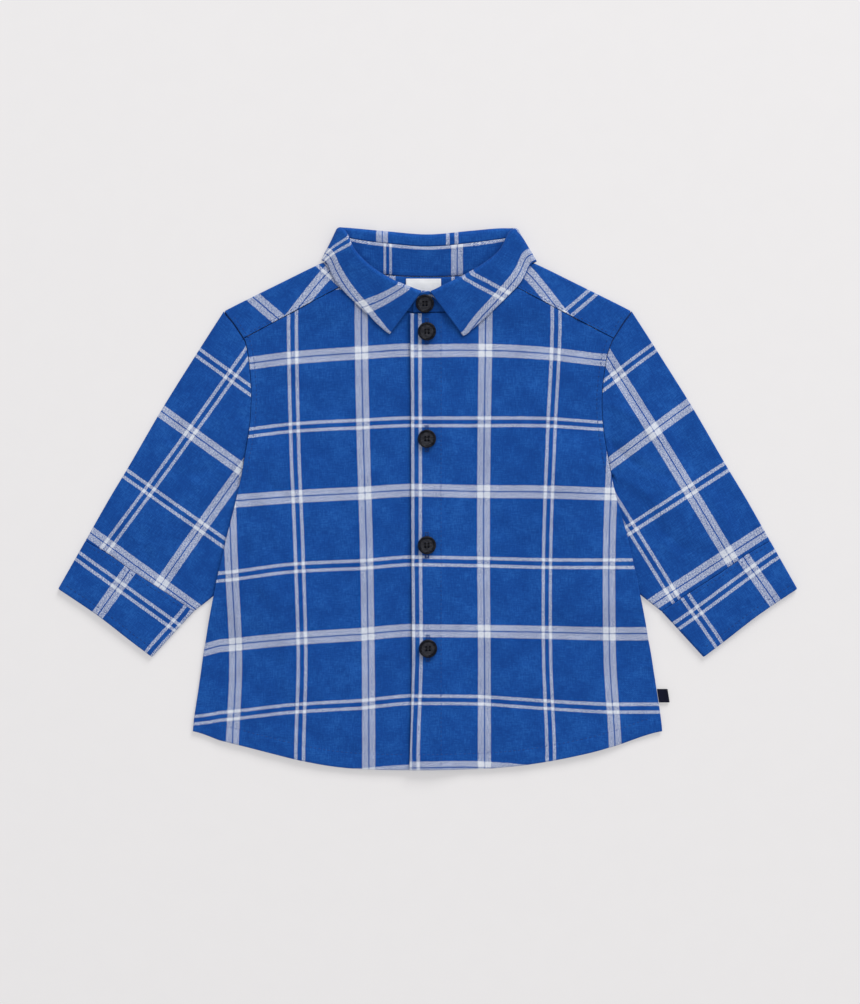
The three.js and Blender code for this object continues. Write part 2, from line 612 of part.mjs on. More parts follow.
// The leaf is sewn to the stand's top, goes over the fold and falls to its outer edge.
function collarLeaf() {
  const columns = 2 * (RIGHT_LEAF_END - LEFT_LEAF_END);
  const [stripRows, foldRows, fallRows] = [1, 4, 4];
  const seamShare = LEAF_SEAM + 0.045;
  return surfaceWall(
    columns,
    stripRows + foldRows + fallRows,
    (i, j) => {
      const station = LEFT_LEAF_END + (i / columns) * (RIGHT_LEAF_END - LEFT_LEAF_END);
      if (j < stripRows) {
        const share = seamShare + (1 - seamShare) * (j / stripRows);
        return standFoot(station).lerp(foldPointAt(station, -Math.PI / 2), share);
      }
      const bend = (j - stripRows) / foldRows;
      if (bend <= 1) return foldPointAt(station, Math.PI * (bend - 0.5));
      const fall = (j - stripRows - foldRows) / fallRows;
      return foldPointAt(station, Math.PI / 2).lerp(leafEdge(station), fall);
    },
    LEAF_CLOTH,
  );
}

// A manifold solid from a closed geometry.
function solidOf(geometry) {
  const bare = geometry.clone();
  bare.deleteAttribute("normal");
  bare.deleteAttribute("uv");
  const merged = mergeVertices(bare, 1e-4);
  return new wasm.Manifold(
    new wasm.Mesh({
      numProp: 3,
      vertProperties: merged.attributes.position.array,
      triVerts: new Uint32Array(merged.index.array),
    }),
  );
}

// A round button: a flat base, a rounded rim, a dished middle and four holes right through.
function buttonGeometry() {
  const { diameter, thickness, rim, dish, hole, holeSpacing } = BUTTON;
  const radius = diameter / 2;
  const round = 0.5;
  const profile = [
    [0, 0],
    [radius - round, 0],
    [radius, round],
    [radius, thickness - 2 * round],
    [radius - rim / 2, thickness],
    [radius - rim, thickness - dish / 2],
    [radius - rim - round, thickness - dish],
    [0, thickness - dish],
  ].map(([x, z]) => new THREE.Vector2(x, z));
  const disc = new THREE.LatheGeometry(profile, 20).rotateX(Math.PI / 2);
  let solid = solidOf(disc);
  for (const quarter of [0, 1, 2, 3]) {
    const angle = Math.PI * (0.25 + quarter / 2);
    const drill = new THREE.CylinderGeometry(hole / 2, hole / 2, 2 * thickness, 8).rotateX(Math.PI / 2);
    drill.translate((holeSpacing / Math.SQRT2) * Math.cos(angle), (holeSpacing / Math.SQRT2) * Math.sin(angle), 0);
    solid = solid.subtract(solidOf(drill));
  }
  const cut = solid.getMesh();
  const geometry = new THREE.BufferGeometry();
  geometry.setAttribute("position", new THREE.BufferAttribute(new Float32Array(cut.vertProperties), 3));
  geometry.setIndex(Array.from(cut.triVerts));
  geometry.computeVertexNormals();
  return geometry;
}

// The bare label hangs from the neck seam on the inside of the yoke.
function neckLabel() {
  const { left, right, top, bottom, thickness } = NECK_LABEL;
  return clothWall(4, 3, (i, j) => {
    const x = left + (i / 4) * (right - left);
    const y = bottom + (j / 3) * (top - bottom);
    const height = backUnder(x, y) + CLOTH + SEAM + thickness / 2;
    return { middle: new THREE.Vector3(x, y, height), normal: UP, thickness };
  });
}

// The side tag is a strip folded in half, with its fold away from the side seam.
function sideTag() {
  const { top, bottom, reach, layer, air, lift } = SIDE_TAG;
  const foldRadius = (layer + air) / 2;
  const foldRows = 4;
  const rows = foldRows + 2;
  return clothWall(2, rows, (i, j) => {
    const y = bottom + (i / 2) * (top - bottom);
    const start = outlinePoint(1, y).x + SEAM;
    const turn = Math.PI * (THREE.MathUtils.clamp((j - 1) / foldRows, 0, 1) - 0.5);
    const atSeam = j === 0 || j === rows;
    const x = atSeam ? start : start + reach - foldRadius - layer / 2;
    const normal = new THREE.Vector3(Math.cos(turn), 0, Math.sin(turn));
    const core = new THREE.Vector3(x, y, lift + layer / 2 + foldRadius);
    return { middle: core.addScaledVector(normal, foldRadius), normal, thickness: layer };
  });
}

const CHECK_BLUE = 0x1d4c98;
const FINISHES = {
  cloth: new THREE.MeshStandardMaterial({ color: CHECK_BLUE, roughness: 0.95, metalness: 0 }),
  button: new THREE.MeshStandardMaterial({ color: 0x2a2d3a, roughness: 0.35, metalness: 0 }),
  label: new THREE.MeshStandardMaterial({ color: 0xe2e4e6, roughness: 0.8, metalness: 0 }),
  tag: new THREE.MeshStandardMaterial({ color: 0x14182c, roughness: 0.8, metalness: 0 }),
};

const shirt = new THREE.Group();

function add(name, geometry, finish) {
  const mesh = new THREE.Mesh(geometry, FINISHES[finish]);
  mesh.name = name;
  shirt.add(mesh);
  return mesh;
}

add("back", backPanel(), "cloth");
add("front_left", frontPanel(-1, LEFT_FRONT_EDGE, frontUnder, () => CLOTH), "cloth");
add("front_right", frontPanel(1, RIGHT_FRONT_EDGE, rightFrontUnder, rightFrontCloth), "cloth");
add("yoke", yoke(), "cloth");
add("sleeve_left", sleeve(-1), "cloth");
add("sleeve_right", sleeve(1), "cloth");
add("cuff_left", cuff(-1), "cloth");
add("cuff_right", cuff(1), "cloth");
add("collar_stand", collarStand(), "cloth");
add("collar_leaf", collarLeaf(), "cloth");
add("neck_label", neckLabel(), "label");
add("side_tag", sideTag(), "tag");

// Each button lies on the cloth under it, with the cloth's slope.
for (const { name, x, y } of FRONT_BUTTONS) {
  const top = (place) => rightFrontUnder(x, place) + rightFrontCloth(x);
  const radius = BUTTON.diameter / 2;
  const slope = (top(y + radius) - top(y - radius)) / BUTTON.diameter;
  const button = add(name, buttonGeometry(), "button");
  button.rotation.x = Math.atan(slope);
  button.position.set(x, y, Math.max(top(y), (top(y + radius) + top(y - radius)) / 2) + SEAM);
}

const standButton = add(STAND_BUTTON.name, buttonGeometry(), "button");
standButton.position.set(STAND_BUTTON.x, STAND_BUTTON.y, STAND_BUTTON.height);
standButton.rotation.x = STAND_BUTTON.tilt;

export default shirt;
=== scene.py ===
"""Dresses a small child's check flannel shirt that lies flat on its back, and lights it as in its photo.

X runs across the shirt, +Y runs from the hem to the collar and +Z points up, off the table.
"Left" and "right" are as seen by somebody who looks down at the shirt's front. The tables and
sizes are in millimetres, and they turn into metres where a mesh is made.
"""

import logging
import math
from collections.abc import Callable
from dataclasses import dataclass
from enum import Enum

import bpy
import numpy as np
from mathutils import Matrix, Vector
from mathutils.bvhtree import BVHTree


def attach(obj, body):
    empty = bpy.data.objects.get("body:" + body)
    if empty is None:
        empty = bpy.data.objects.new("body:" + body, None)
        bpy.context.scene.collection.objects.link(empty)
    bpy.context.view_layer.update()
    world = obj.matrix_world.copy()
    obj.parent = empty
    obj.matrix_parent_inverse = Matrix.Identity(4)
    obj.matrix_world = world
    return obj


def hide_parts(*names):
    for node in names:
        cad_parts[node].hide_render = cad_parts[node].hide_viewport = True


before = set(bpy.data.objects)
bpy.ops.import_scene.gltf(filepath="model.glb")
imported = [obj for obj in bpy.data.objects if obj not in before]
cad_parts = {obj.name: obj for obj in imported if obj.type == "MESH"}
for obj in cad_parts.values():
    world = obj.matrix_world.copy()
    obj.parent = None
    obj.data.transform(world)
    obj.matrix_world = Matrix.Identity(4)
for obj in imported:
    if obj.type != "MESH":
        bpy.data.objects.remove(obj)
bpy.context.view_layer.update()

log = logging.getLogger("shirt")
MM = 0.001
Array = np.ndarray
PlanEdge = Callable[[Array], Array]
Piece = bpy.types.Object
Material = bpy.types.Material
Socket = bpy.types.NodeSocket


class Side(Enum):
    """The half of the shirt that a piece belongs to."""

    LEFT = -1
    RIGHT = 1

    @property
    def column(self) -> str:
        """Return the name of this side's column in a table."""
        return "left" if self is Side.LEFT else "right"

    @property
    def suffix(self) -> str:
        """Return the ending of this side's piece names."""
        return "_" + self.column


@dataclass(frozen=True)
class Table:
    """A short table of sizes."""

    names: str
    rows: tuple[tuple[float, ...], ...]

    def column(self, name: str) -> Array:
        """Return one column."""
        place = self.names.split().index(name)
        return np.array([row[place] for row in self.rows], dtype=float)

    def read(self, name: str, place: Array | float) -> Array:
        """Read a smooth curve through one column.

        Args:
            name: the column.
            place: row numbers, which may lie between rows.

        Returns:
            The values there.
        """
        values = self.column(name)
        last = len(values) - 1
        place = np.asarray(place, dtype=float)
        start = np.clip(np.floor(place).astype(int), 0, last - 1)
        before, here, then, after = (values[np.clip(start + step, 0, last)] for step in (-1, 0, 1, 2))
        share = place - start
        leave, arrive = (then - before) / 2, (after - here) / 2
        curve = 3 * (then - here) - 2 * leave - arrive + share * (2 * (here - then) + leave + arrive)
        return here + share * (leave + share * curve)

    def at(self, key: str, name: str, place: Array | float) -> Array:
        """Read a smooth curve through one column at places in a sorted key column.

        Args:
            key: the sorted column.
            name: the column to read.
            place: values of the key.

        Returns:
            The values there, held at both ends.
        """
        keys = self.column(key)
        numbers = np.arange(len(keys), dtype=float)
        if keys[0] > keys[-1]:
            keys, numbers = keys[::-1], numbers[::-1]
        return self.read(name, np.interp(place, keys, numbers))

    def straight(self, place: Array) -> Array:
        """Read the second column by the first one, in straight lines from row to row."""
        key, name = self.names.split()
        return np.interp(place, self.column(key), self.column(name))

    def along(self, share: Array | float, side: int = 1) -> Array:
        """Find plan points on the curve through the columns x and y.

        Args:
            share: how far along the curve's length, from 0 to 1.
            side: -1 to mirror the curve to the left.

        Returns:
            The points, with x and y in the last axis.
        """
        numbers = np.linspace(0, len(self.rows) - 1, 400)
        steps = np.hypot(np.diff(self.read("x", numbers)), np.diff(self.read("y", numbers)))
        length = np.concatenate([[0], np.cumsum(steps)])
        place = np.interp(np.clip(share, 0, 1) * length[-1], length, numbers)
        return plan(side * self.read("x", place), self.read("y", place))


def plan(x: Array | float, y: Array | float) -> Array:
    """Join x and y to plan points, with both in the last axis."""
    return np.stack(np.broadcast_arrays(x, y), axis=-1).astype(float)


def ramp(value: Array | float, start: float, end: float) -> Array:
    """Step smoothly from 0, where value is at start, to 1, where it is at end."""
    share = np.clip((np.asarray(value, dtype=float) - start) / (end - start), 0, 1)
    return share * share * (3 - 2 * share)


def mix(first: Array, second: Array, share: Array | float) -> Array:
    """Blend two sets of points, with one share of the second for each point."""
    share = np.asarray(share, dtype=float)[..., None]
    return first * (1 - share) + second * share


def unit(vectors: Array) -> Array:
    """Return vectors of length 1."""
    length = np.linalg.norm(vectors, axis=-1, keepdims=True)
    return vectors / np.maximum(length, 1e-9)


def unevenness(x: Array, y: Array, seed: int, wavelength: float) -> Array:
    """Make a soft uneven surface out of a few waves.

    Args:
        x: plan distances to the right.
        y: plan distances to the collar.
        seed: picks the waves.
        wavelength: their middle length.

    Returns:
        Heights of about one unit up and down.
    """
    chance = np.random.default_rng(seed)
    total = np.zeros(np.broadcast(x, y).shape)
    for _ in range(14):
        angle, phase = chance.uniform(0, 2 * np.pi, 2)
        length = wavelength * chance.uniform(0.6, 1.6)
        total += np.sin(2 * np.pi * (x * np.cos(angle) + y * np.sin(angle)) / length + phase)
    return total / 3.7


OUTLINE = Table("y left right", (
    (120.0, -129.8, 129.8),
    (113.0, -124.6, 125.2),
    (106.6, -120.2, 121.2),
    (100.8, -116.6, 117.6),
    (91.8, -114.6, 114.4),
    (69.4, -112.8, 111.5),
    (47.0, -113.8, 111.9),
    (25.9, -117.0, 115.1),
    (3.5, -121.4, 119.8),
    (-22.1, -127.8, 127.0),
    (-52.2, -134.9, 133.9),
    (-90.6, -141.9, 141.1),
    (-116.2, -145.8, 145.4),
    (-148.8, -150.2, 149.9),
))
HEM = Table("x y", (
    (-150.2, -148.8),
    (-133.0, -154.6),
    (-107.4, -161.0),
    (-81.8, -167.4),
    (-56.2, -171.8),
    (-30.6, -173.4),
    (7.8, -173.4),
    (39.8, -172.5),
    (65.4, -169.9),
    (91.0, -165.4),
    (116.6, -159.0),
    (149.9, -148.8),
))
SHOULDER = Table("x y", ((129.8, 120.0), (113.8, 128.1), (70.0, 149.4), (58.2, 152.6)))
SLEEVE_OUTER = Table(
    "x y", ((130.2, 120.0), (144.5, 97.8), (169.0, 58.8), (190.5, 21.8), (203.6, 0.0), (218.9, -27.0))
)
SLEEVE_INNER = Table("x y", (
    (119.6, 12.5),
    (120.6, 4.0),
    (113.6, -9.0),
    (108.4, -24.0),
    (111.8, -38.5),
    (121.6, -49.5),
    (137.3, -62.7),
    (149.4, -72.2),
))
CUFF_SEAM = Table("x y", ((218.9, -27.0), (205.2, -35.0), (190.0, -45.6), (169.0, -59.2), (149.4, -72.2)))
CUFF_END = Table("x y", ((236.3, -57.6), (211.2, -74.6), (190.5, -90.6), (176.2, -101.4)))

COLLAR = Table("turn neckX neckY rollX rollY edgeX edgeY reach bend", (
    (90, 5.9, 118.1, 5.6, 131.0, -16.0, 103.0, 3.1, 1.5),
    (90, -10.1, 118.7, -3.7, 132.5, -24.2, 105.0, 3.3, 1.6),
    (90, -21.0, 120.0, -12.6, 135.7, -31.8, 111.0, 3.3, 1.7),
    (90, -33.8, 123.5, -24.2, 140.8, -42.1, 121.0, 3.1, 1.7),
    (90, -45.3, 129.6, -37.0, 149.1, -53.0, 131.5, 2.9, 1.7),
    (90, -52.3, 137.3, -46.6, 159.0, -60.0, 140.5, 2.7, 1.7),
    (90, -57.0, 149.6, -52.4, 170.6, -64.6, 150.0, 2.6, 1.7),
    (0, -57.6, 151.2, -53.4, 173.1, -65.1, 152.0, 2.6, 1.7),
    (-90, -56.5, 150.7, -52.3, 173.2, -64.0, 150.6, 2.6, 1.7),
    (-90, -45.0, 146.0, -43.0, 172.4, -50.0, 137.5, 2.2, 2.0),
    (-90, -26.0, 142.6, -26.0, 170.8, -28.0, 132.2, 1.8, 2.4),
    (-90, 0, 141.4, 0, 168.8, 0, 131.0, 1.6, 2.6),
    (-90, 26.0, 142.6, 26.0, 171.0, 28.0, 132.2, 1.8, 2.4),
    (-90, 45.0, 146.0, 43.0, 172.6, 50.0, 137.5, 2.2, 2.0),
    (-90, 56.5, 150.7, 52.0, 172.8, 65.2, 149.0, 2.6, 1.7),
    (0, 57.6, 151.2, 53.0, 172.6, 66.8, 151.2, 2.6, 1.7),
    (90, 57.0, 149.6, 52.0, 170.0, 65.8, 149.4, 2.6, 1.7),
    (90, 52.3, 137.3, 46.0, 159.0, 60.6, 139.3, 2.8, 1.7),
    (90, 45.3, 129.6, 36.5, 150.8, 52.4, 130.4, 3.1, 1.7),
    (90, 33.8, 123.5, 24.0, 143.2, 42.0, 120.2, 3.6, 1.7),
    (90, 21.0, 120.0, 11.5, 137.0, 30.5, 109.8, 4.4, 1.7),
    (90, 9.5, 118.7, 1.4, 132.2, 22.6, 103.7, 4.9, 1.6),
    (90, -9.4, 118.1, -9.2, 131.0, 12.0, 103.0, 4.8, 1.5),
))
LEAF_START = 1
LEFT_YOKE_CORNER = 5
LEFT_NECK_POINT = 7
MIDDLE_BACK = 11
RIGHT_NECK_POINT = 15
RIGHT_YOKE_CORNER = 17
LEAF_END = 21
LAST_STATION = 22

RIDGES = Table("x1 y1 x2 y2 width rise", (
    (-96, 30, -62, -20, 9, 0.7),
    (-104, -40, -84, -128, 11, 0.8),
    (-52, -60, -46, -150, 10, 0.6),
    (94, 34, 60, -12, 9, 0.7),
    (102, -30, 92, -120, 11, 0.8),
    (50, -70, 56, -150, 10, 0.6),
    (-128, 76, -158, 30, 8, 0.8),
    (-140, 20, -178, -22, 9, 0.6),
    (130, 72, 156, 34, 8, 0.8),
    (142, 14, 176, -26, 9, 0.6),
))

# Creases, listed one by one: their ends, how far their middle bows aside, their half width and rise.
FRONT_CREASES = Table("x1 y1 x2 y2 bow width rise", (
    (-110, 20, -78, -6, 3, 3.2, -0.30),
    (-112, 6, -92, -34, -3, 3.6, 0.28),
    (-118, -18, -104, -70, 4, 3.4, -0.26),
    (-128, -60, -118, -112, -3, 4.0, 0.25),
    (-96, -84, -88, -146, 4, 4.5, -0.28),
    (-70, -102, -66, -152, -2, 3.8, 0.20),
    (-34, -96, -30, -158, 2, 4.4, -0.22),
    (-62, 84, -44, 40, 4, 5.0, -0.20),
    (-94, 86, -86, 52, -3, 4.0, 0.20),
    (-30, 62, -22, 12, 2, 4.6, 0.18),
    (-40, 8, -34, -46, -3, 5.2, -0.18),
    (108, 22, 80, -2, -3, 3.2, -0.30),
    (110, 4, 94, -30, 3, 3.8, 0.28),
    (116, -22, 106, -66, -4, 3.2, -0.26),
    (124, -56, 116, -104, 3, 4.2, 0.25),
    (98, -92, 94, -148, -4, 4.2, -0.28),
    (72, -108, 70, -154, 2, 4.0, 0.20),
    (36, -88, 34, -156, -2, 4.4, -0.22),
    (60, 86, 46, 44, -4, 5.0, -0.20),
    (92, 84, 84, 48, 3, 4.2, 0.20),
    (34, 58, 30, 8, -2, 4.8, 0.18),
    (44, 0, 40, -52, 3, 5.4, -0.18),
))
SLEEVE_CREASES = Table("x1 y1 x2 y2 bow width rise", (
    (118, 86, 140, 56, 3, 3.6, -0.30),
    (116, 60, 150, 34, -4, 3.4, 0.30),
    (116, 36, 152, 14, 3, 3.2, -0.32),
    (120, 14, 150, -8, -3, 3.4, 0.26),
    (140, -8, 168, -34, 3, 4.0, -0.26),
    (128, -22, 146, -50, -3, 3.6, 0.24),
    (160, 46, 176, 12, 3, 4.4, -0.22),
    (176, 6, 196, -26, -3, 4.2, 0.20),
    (186, -18, 178, -48, 2, 3.4, -0.24),
    (160, -44, 152, -62, 2, 3.0, 0.20),
))

# Where the stripes lie on each front: upright lines by height, then level ones by place across.
LEFT_UPRIGHTS = Table("y a b c", (
    (107.8, -131.7, -86.4, -42.4),
    (37.4, -127.8, -85.0, -41.1),
    (-33.0, -125.7, -82.1, -39.1),
    (-103.4, -122.7, -80.3, -38.0),
    (-161.0, -125.0, -81.8, -37.6),
))
RIGHT_UPRIGHTS = Table("y a b c d", (
    (107.8, -7.5, 36.9, 82.1, 124.3),
    (37.4, -7.2, 36.0, 78.8, 118.6),
    (-33.0, -7.1, 35.7, 76.3, 115.7),
    (-103.4, -6.7, 36.3, 76.3, 116.3),
    (-161.0, -8.6, 36.3, 78.6, 119.8),
))
LEFT_LEVELS = Table("x a b c d e f g", (
    (-150.0, -186.3, -141.7, -98.3, -51.6, -2.9, 38.0, 82.6),
    (-133.0, -184.0, -139.3, -94.1, -50.2, -1.9, 39.7, 84.2),
    (-88.2, -178.9, -134.3, -89.8, -44.5, 1.1, 45.1, 89.7),
    (-41.4, -176.3, -131.4, -86.7, -42.2, 3.5, 47.6, 93.1),
    (-11.4, -174.1, -128.4, -84.2, -39.8, 5.4, 49.0, 95.0),
))
RIGHT_LEVELS = Table("x a b c d e f g", (
    (-10.1, -171.8, -128.4, -84.4, -39.8, 5.4, 48.8, 94.1),
    (33.4, -171.8, -129.0, -84.8, -40.6, 4.5, 48.9, 94.7),
    (75.0, -175.0, -131.8, -85.4, -41.6, 4.2, 48.8, 92.7),
    (117.9, -178.9, -134.1, -86.3, -41.6, 2.9, 46.2, 88.0),
))
# The same on the sleeves and cuffs: lines down the arm by distance along it, then lines round it.
LEFT_SLEEVE_LENGTHS = Table(
    "s a b", ((-30, 105.5, 148.1), (40, 106.7, 147.5), (110, 107.0, 147.9), (170, 106.2, 149.1))
)
LEFT_SLEEVE_ROUNDS = Table(
    "t a b c d",
    ((60, 10.1, 54.1, 98.7, 144.0), (120, 10.0, 54.0, 99.2, 143.7), (180, 9.8, 53.9, 99.8, 143.4)),
)
RIGHT_SLEEVE_LENGTHS = Table("s a b", ((-30, 100.2, 145.2), (57, 100.8, 145.7), (138, 101.6, 145.3)))
RIGHT_SLEEVE_ROUNDS = Table(
    "t a b c d",
    ((60, 3.7, 46.1, 84.6, 133.4), (120, -1.6, 40.8, 83.3, 131.7), (180, -7.2, 35.6, 82.1, 130.0)),
)
LEFT_CUFF_LENGTHS = Table("s a b", ((150, 83.4, 128.1), (185, 87.0, 127.9)))
LEFT_CUFF_ROUNDS = Table("t a", ((80, 160.4), (160, 160.2)))
RIGHT_CUFF_LENGTHS = Table("s a b", ((137, 107.8, 152.7), (177, 110.0, 155.0)))
RIGHT_CUFF_ROUNDS = Table("t a", ((91, 152.3), (171, 146.5)))

# The collar's stripes: the number of the upright stripe at stations along its fold and its edge.
LEAF_FOLD_STRIPES = Table(
    "station number",
    (
        (1, -0.30),
        (2.2, 0),
        (5.2, 0.87),
        (5.57, 1),
        (6.0, 1.15),
        (9.4, 1.78),
        (9.86, 2),
        (11.57, 3),
        (12.0, 3.22),
        (15.0, 4),
        (18.95, 5),
        (21, 5.6),
    ),
)
LEAF_EDGE_STRIPES = Table(
    "station number",
    ((1, -0.59), (3.05, 0), (6.5, 1), (9.6, 2), (11.7, 3), (14.0, 4), (18.2, 5), (21, 5.87)),
)


@dataclass(frozen=True)
class ShirtLay:
    """How the shirt's layers lie on each other.

    Attributes:
        cloth: one panel with its pile.
        facing: what the turned-under front edge adds.
        stand_cloth: two layers and a stiffener.
        leaf_cloth: the collar leaf's layers.
        cuff_cloth: the cuff's layers.
        seam: space between two pieces sewn edge to edge.
        edge_air: air between front and back at the side seams and folds.
        shoulder_air: air inside the fold along the shoulder.
        body_air: more air in the middle of the body.
        body_air_reach: how far from the side it is reached.
        sleeve_air: more air in the middle of a sleeve.
        cuff_air: more air in the middle of a cuff.
        collar_lift: what the back of the collar leaf lifts.
        sleeve_lift: what the tucked sleeve lifts.
        overlap_lift: what the left front lifts of the right one.
        left_front_edge: X of the left front's hidden edge.
        right_front_edge: X of the right front's folded edge.
        facing_edge: X at which the right front's facing ends.
        front_yoke_y: where the yoke's front seams start on the armholes.
        back_yoke_y: the same for its back seam.
        armpit_y: where the armhole ends.
        core_height: the height of the collar's middle.
        leaf_seam: share of the way from neck to fold at which the leaf is sewn on.
    """

    cloth: float = 1.0
    facing: float = 0.7
    stand_cloth: float = 1.2
    leaf_cloth: float = 1.4
    cuff_cloth: float = 1.5
    seam: float = 0.35
    edge_air: float = 0.35
    shoulder_air: float = 0.8
    body_air: float = 1.2
    body_air_reach: float = 55.0
    sleeve_air: float = 1.3
    cuff_air: float = 0.3
    collar_lift: float = 1.9
    sleeve_lift: float = 2.75
    overlap_lift: float = 1.4
    left_front_edge: float = 10.7
    right_front_edge: float = -11.7
    facing_edge: float = 8.5
    front_yoke_y: float = 102.7
    back_yoke_y: float = 96.0
    armpit_y: float = 12.5
    core_height: float = 5.0
    leaf_seam: float = 0.78

    def outline_point(self, side: int, y: Array | float) -> Array:
        """Return the body's side at heights y."""
        return plan(OUTLINE.at("y", Side(side).column, y), y)

    def hem_point(self, x: Array | float, inset: float = 0.0) -> Array:
        """Return the hem at distances x, moved in by inset."""
        return plan(x, HEM.at("x", "y", x) + inset)

    def neck_point(self, station: Array | float) -> Array:
        """Return the neck seam at collar stations."""
        return plan(COLLAR.read("neckX", station), COLLAR.read("neckY", station))

    def ridge_rise(self, x: Array, y: Array) -> Array:
        """Return the height of the largest soft ridges."""
        return crease_rise(RIDGES, x, y)

    def back_under(self, x: Array, y: Array) -> Array:
        """Return the height of the back's underside."""
        over_collar = ramp(y, 103, 129) * ramp(np.abs(x), 92, 69)
        over_sleeve = ramp(np.abs(x), 58, 104) * ramp(y, 54, 20) * ramp(y, -96, -64)
        return self.collar_lift * over_collar + self.sleeve_lift * over_sleeve

    def from_side(self, x: Array, y: Array) -> Array:
        """Return how far a point lies inside the body's side."""
        side = np.where(x < 0, OUTLINE.at("y", "left", y), OUTLINE.at("y", "right", y))
        return np.abs(side - x)

    def body_air_at(self, x: Array, y: Array) -> Array:
        """Return the air between the back and the front."""
        below_shoulder = np.maximum(0, SHOULDER.at("x", "y", np.abs(x)) - y)
        near_shoulder = ramp(below_shoulder, 40, 2)
        edge = self.edge_air + (self.shoulder_air - self.edge_air) * near_shoulder
        return edge + self.body_air * ramp(self.from_side(x, y), 0, self.body_air_reach) * (1 - near_shoulder)

    def left_front_under(self, x: Array, y: Array) -> Array:
        """Return the height of the left front's underside."""
        return self.back_under(x, y) + self.cloth + self.body_air_at(x, y) + self.ridge_rise(x, y)

    def right_front_under(self, x: Array, y: Array) -> Array:
        """Return the height of the right front's underside, which rides over the left one."""
        return self.left_front_under(x, y) + self.overlap_lift * ramp(x, 32, 12)

    def right_front_cloth(self, x: Array) -> Array:
        """Return the right front's thickness."""
        return self.cloth + self.facing * ramp(x, 11.5, self.facing_edge)


def crease_rise(creases: Table, x: Array, y: Array, side: int = 1) -> Array:
    """Add up soft ridges and troughs.

    Args:
        creases: their ends, half width and rise, and a bow where they have one.
        x: plan distances to the right.
        y: plan distances to the collar.
        side: -1 to mirror the creases to the left.

    Returns:
        The height that they add.
    """
    total = np.zeros(np.broadcast(x, y).shape)
    bows = creases.column("bow") if "bow" in creases.names.split() else np.zeros(len(creases.rows))
    ends = [creases.column(name) for name in ("x1", "y1", "x2", "y2", "width", "rise")]
    for x1, y1, x2, y2, width, rise, bow in zip(*ends, bows):
        along_x, along_y = side * (x2 - x1), y2 - y1
        length = math.hypot(along_x, along_y)
        share = ((x - side * x1) * along_x + (y - y1) * along_y) / length**2
        away = ((x - side * x1) * along_y - (y - y1) * along_x) / length
        away = (away - side * bow * 4 * share * (1 - share)) / width
        total += rise * ramp(share, -0.3, 0.3) * ramp(share, 1.3, 0.7) * np.exp(-away * away)
    return total


LAY = ShirtLay()


@dataclass(frozen=True)
class PlanPatch:
    """A flat area between four edges."""

    first: PlanEdge
    last: PlanEdge
    bottom: PlanEdge
    top: PlanEdge

    def points(self, u: Array, v: Array) -> Array:
        """Return the plan points at shares u and v."""
        zero, one = np.array(0.0), np.array(1.0)
        sides = mix(self.first(v), self.last(v), u) + mix(self.bottom(u), self.top(u), v)
        low = mix(self.bottom(zero), self.bottom(one), u)
        high = mix(self.top(zero), self.top(one), u)
        return sides - mix(low, high, v)


def edge_shares(length: float, cell: float, rim: float = 0.5) -> Array:
    """Space grid lines along a length, with close ones at both ends so that edges can be round.

    Args:
        length: the length.
        cell: the usual spacing.
        rim: how far the close lines reach.

    Returns:
        Shares from 0 to 1.
    """
    near = np.array([0.0, 0.08, 0.3, 1.0]) * rim
    middle = np.linspace(rim, length - rim, max(2, round((length - 2 * rim) / cell)) + 1)
    return np.concatenate([near[:-1], middle, (length - near[:-1])[::-1]]) / length


def rounded(thickness: Array | float, *distances: Array) -> Array:
    """Thin cloth towards its edges so that they are round.

    Args:
        thickness: the cloth's thickness.
        distances: how far each point is from each edge.

    Returns:
        The thickness with round edges.
    """
    nearest = np.minimum.reduce(np.broadcast_arrays(*distances))
    share = np.clip(nearest / 0.5, 0, 1)
    return thickness * (0.25 + 0.75 * np.sqrt(1 - (1 - share) ** 2))


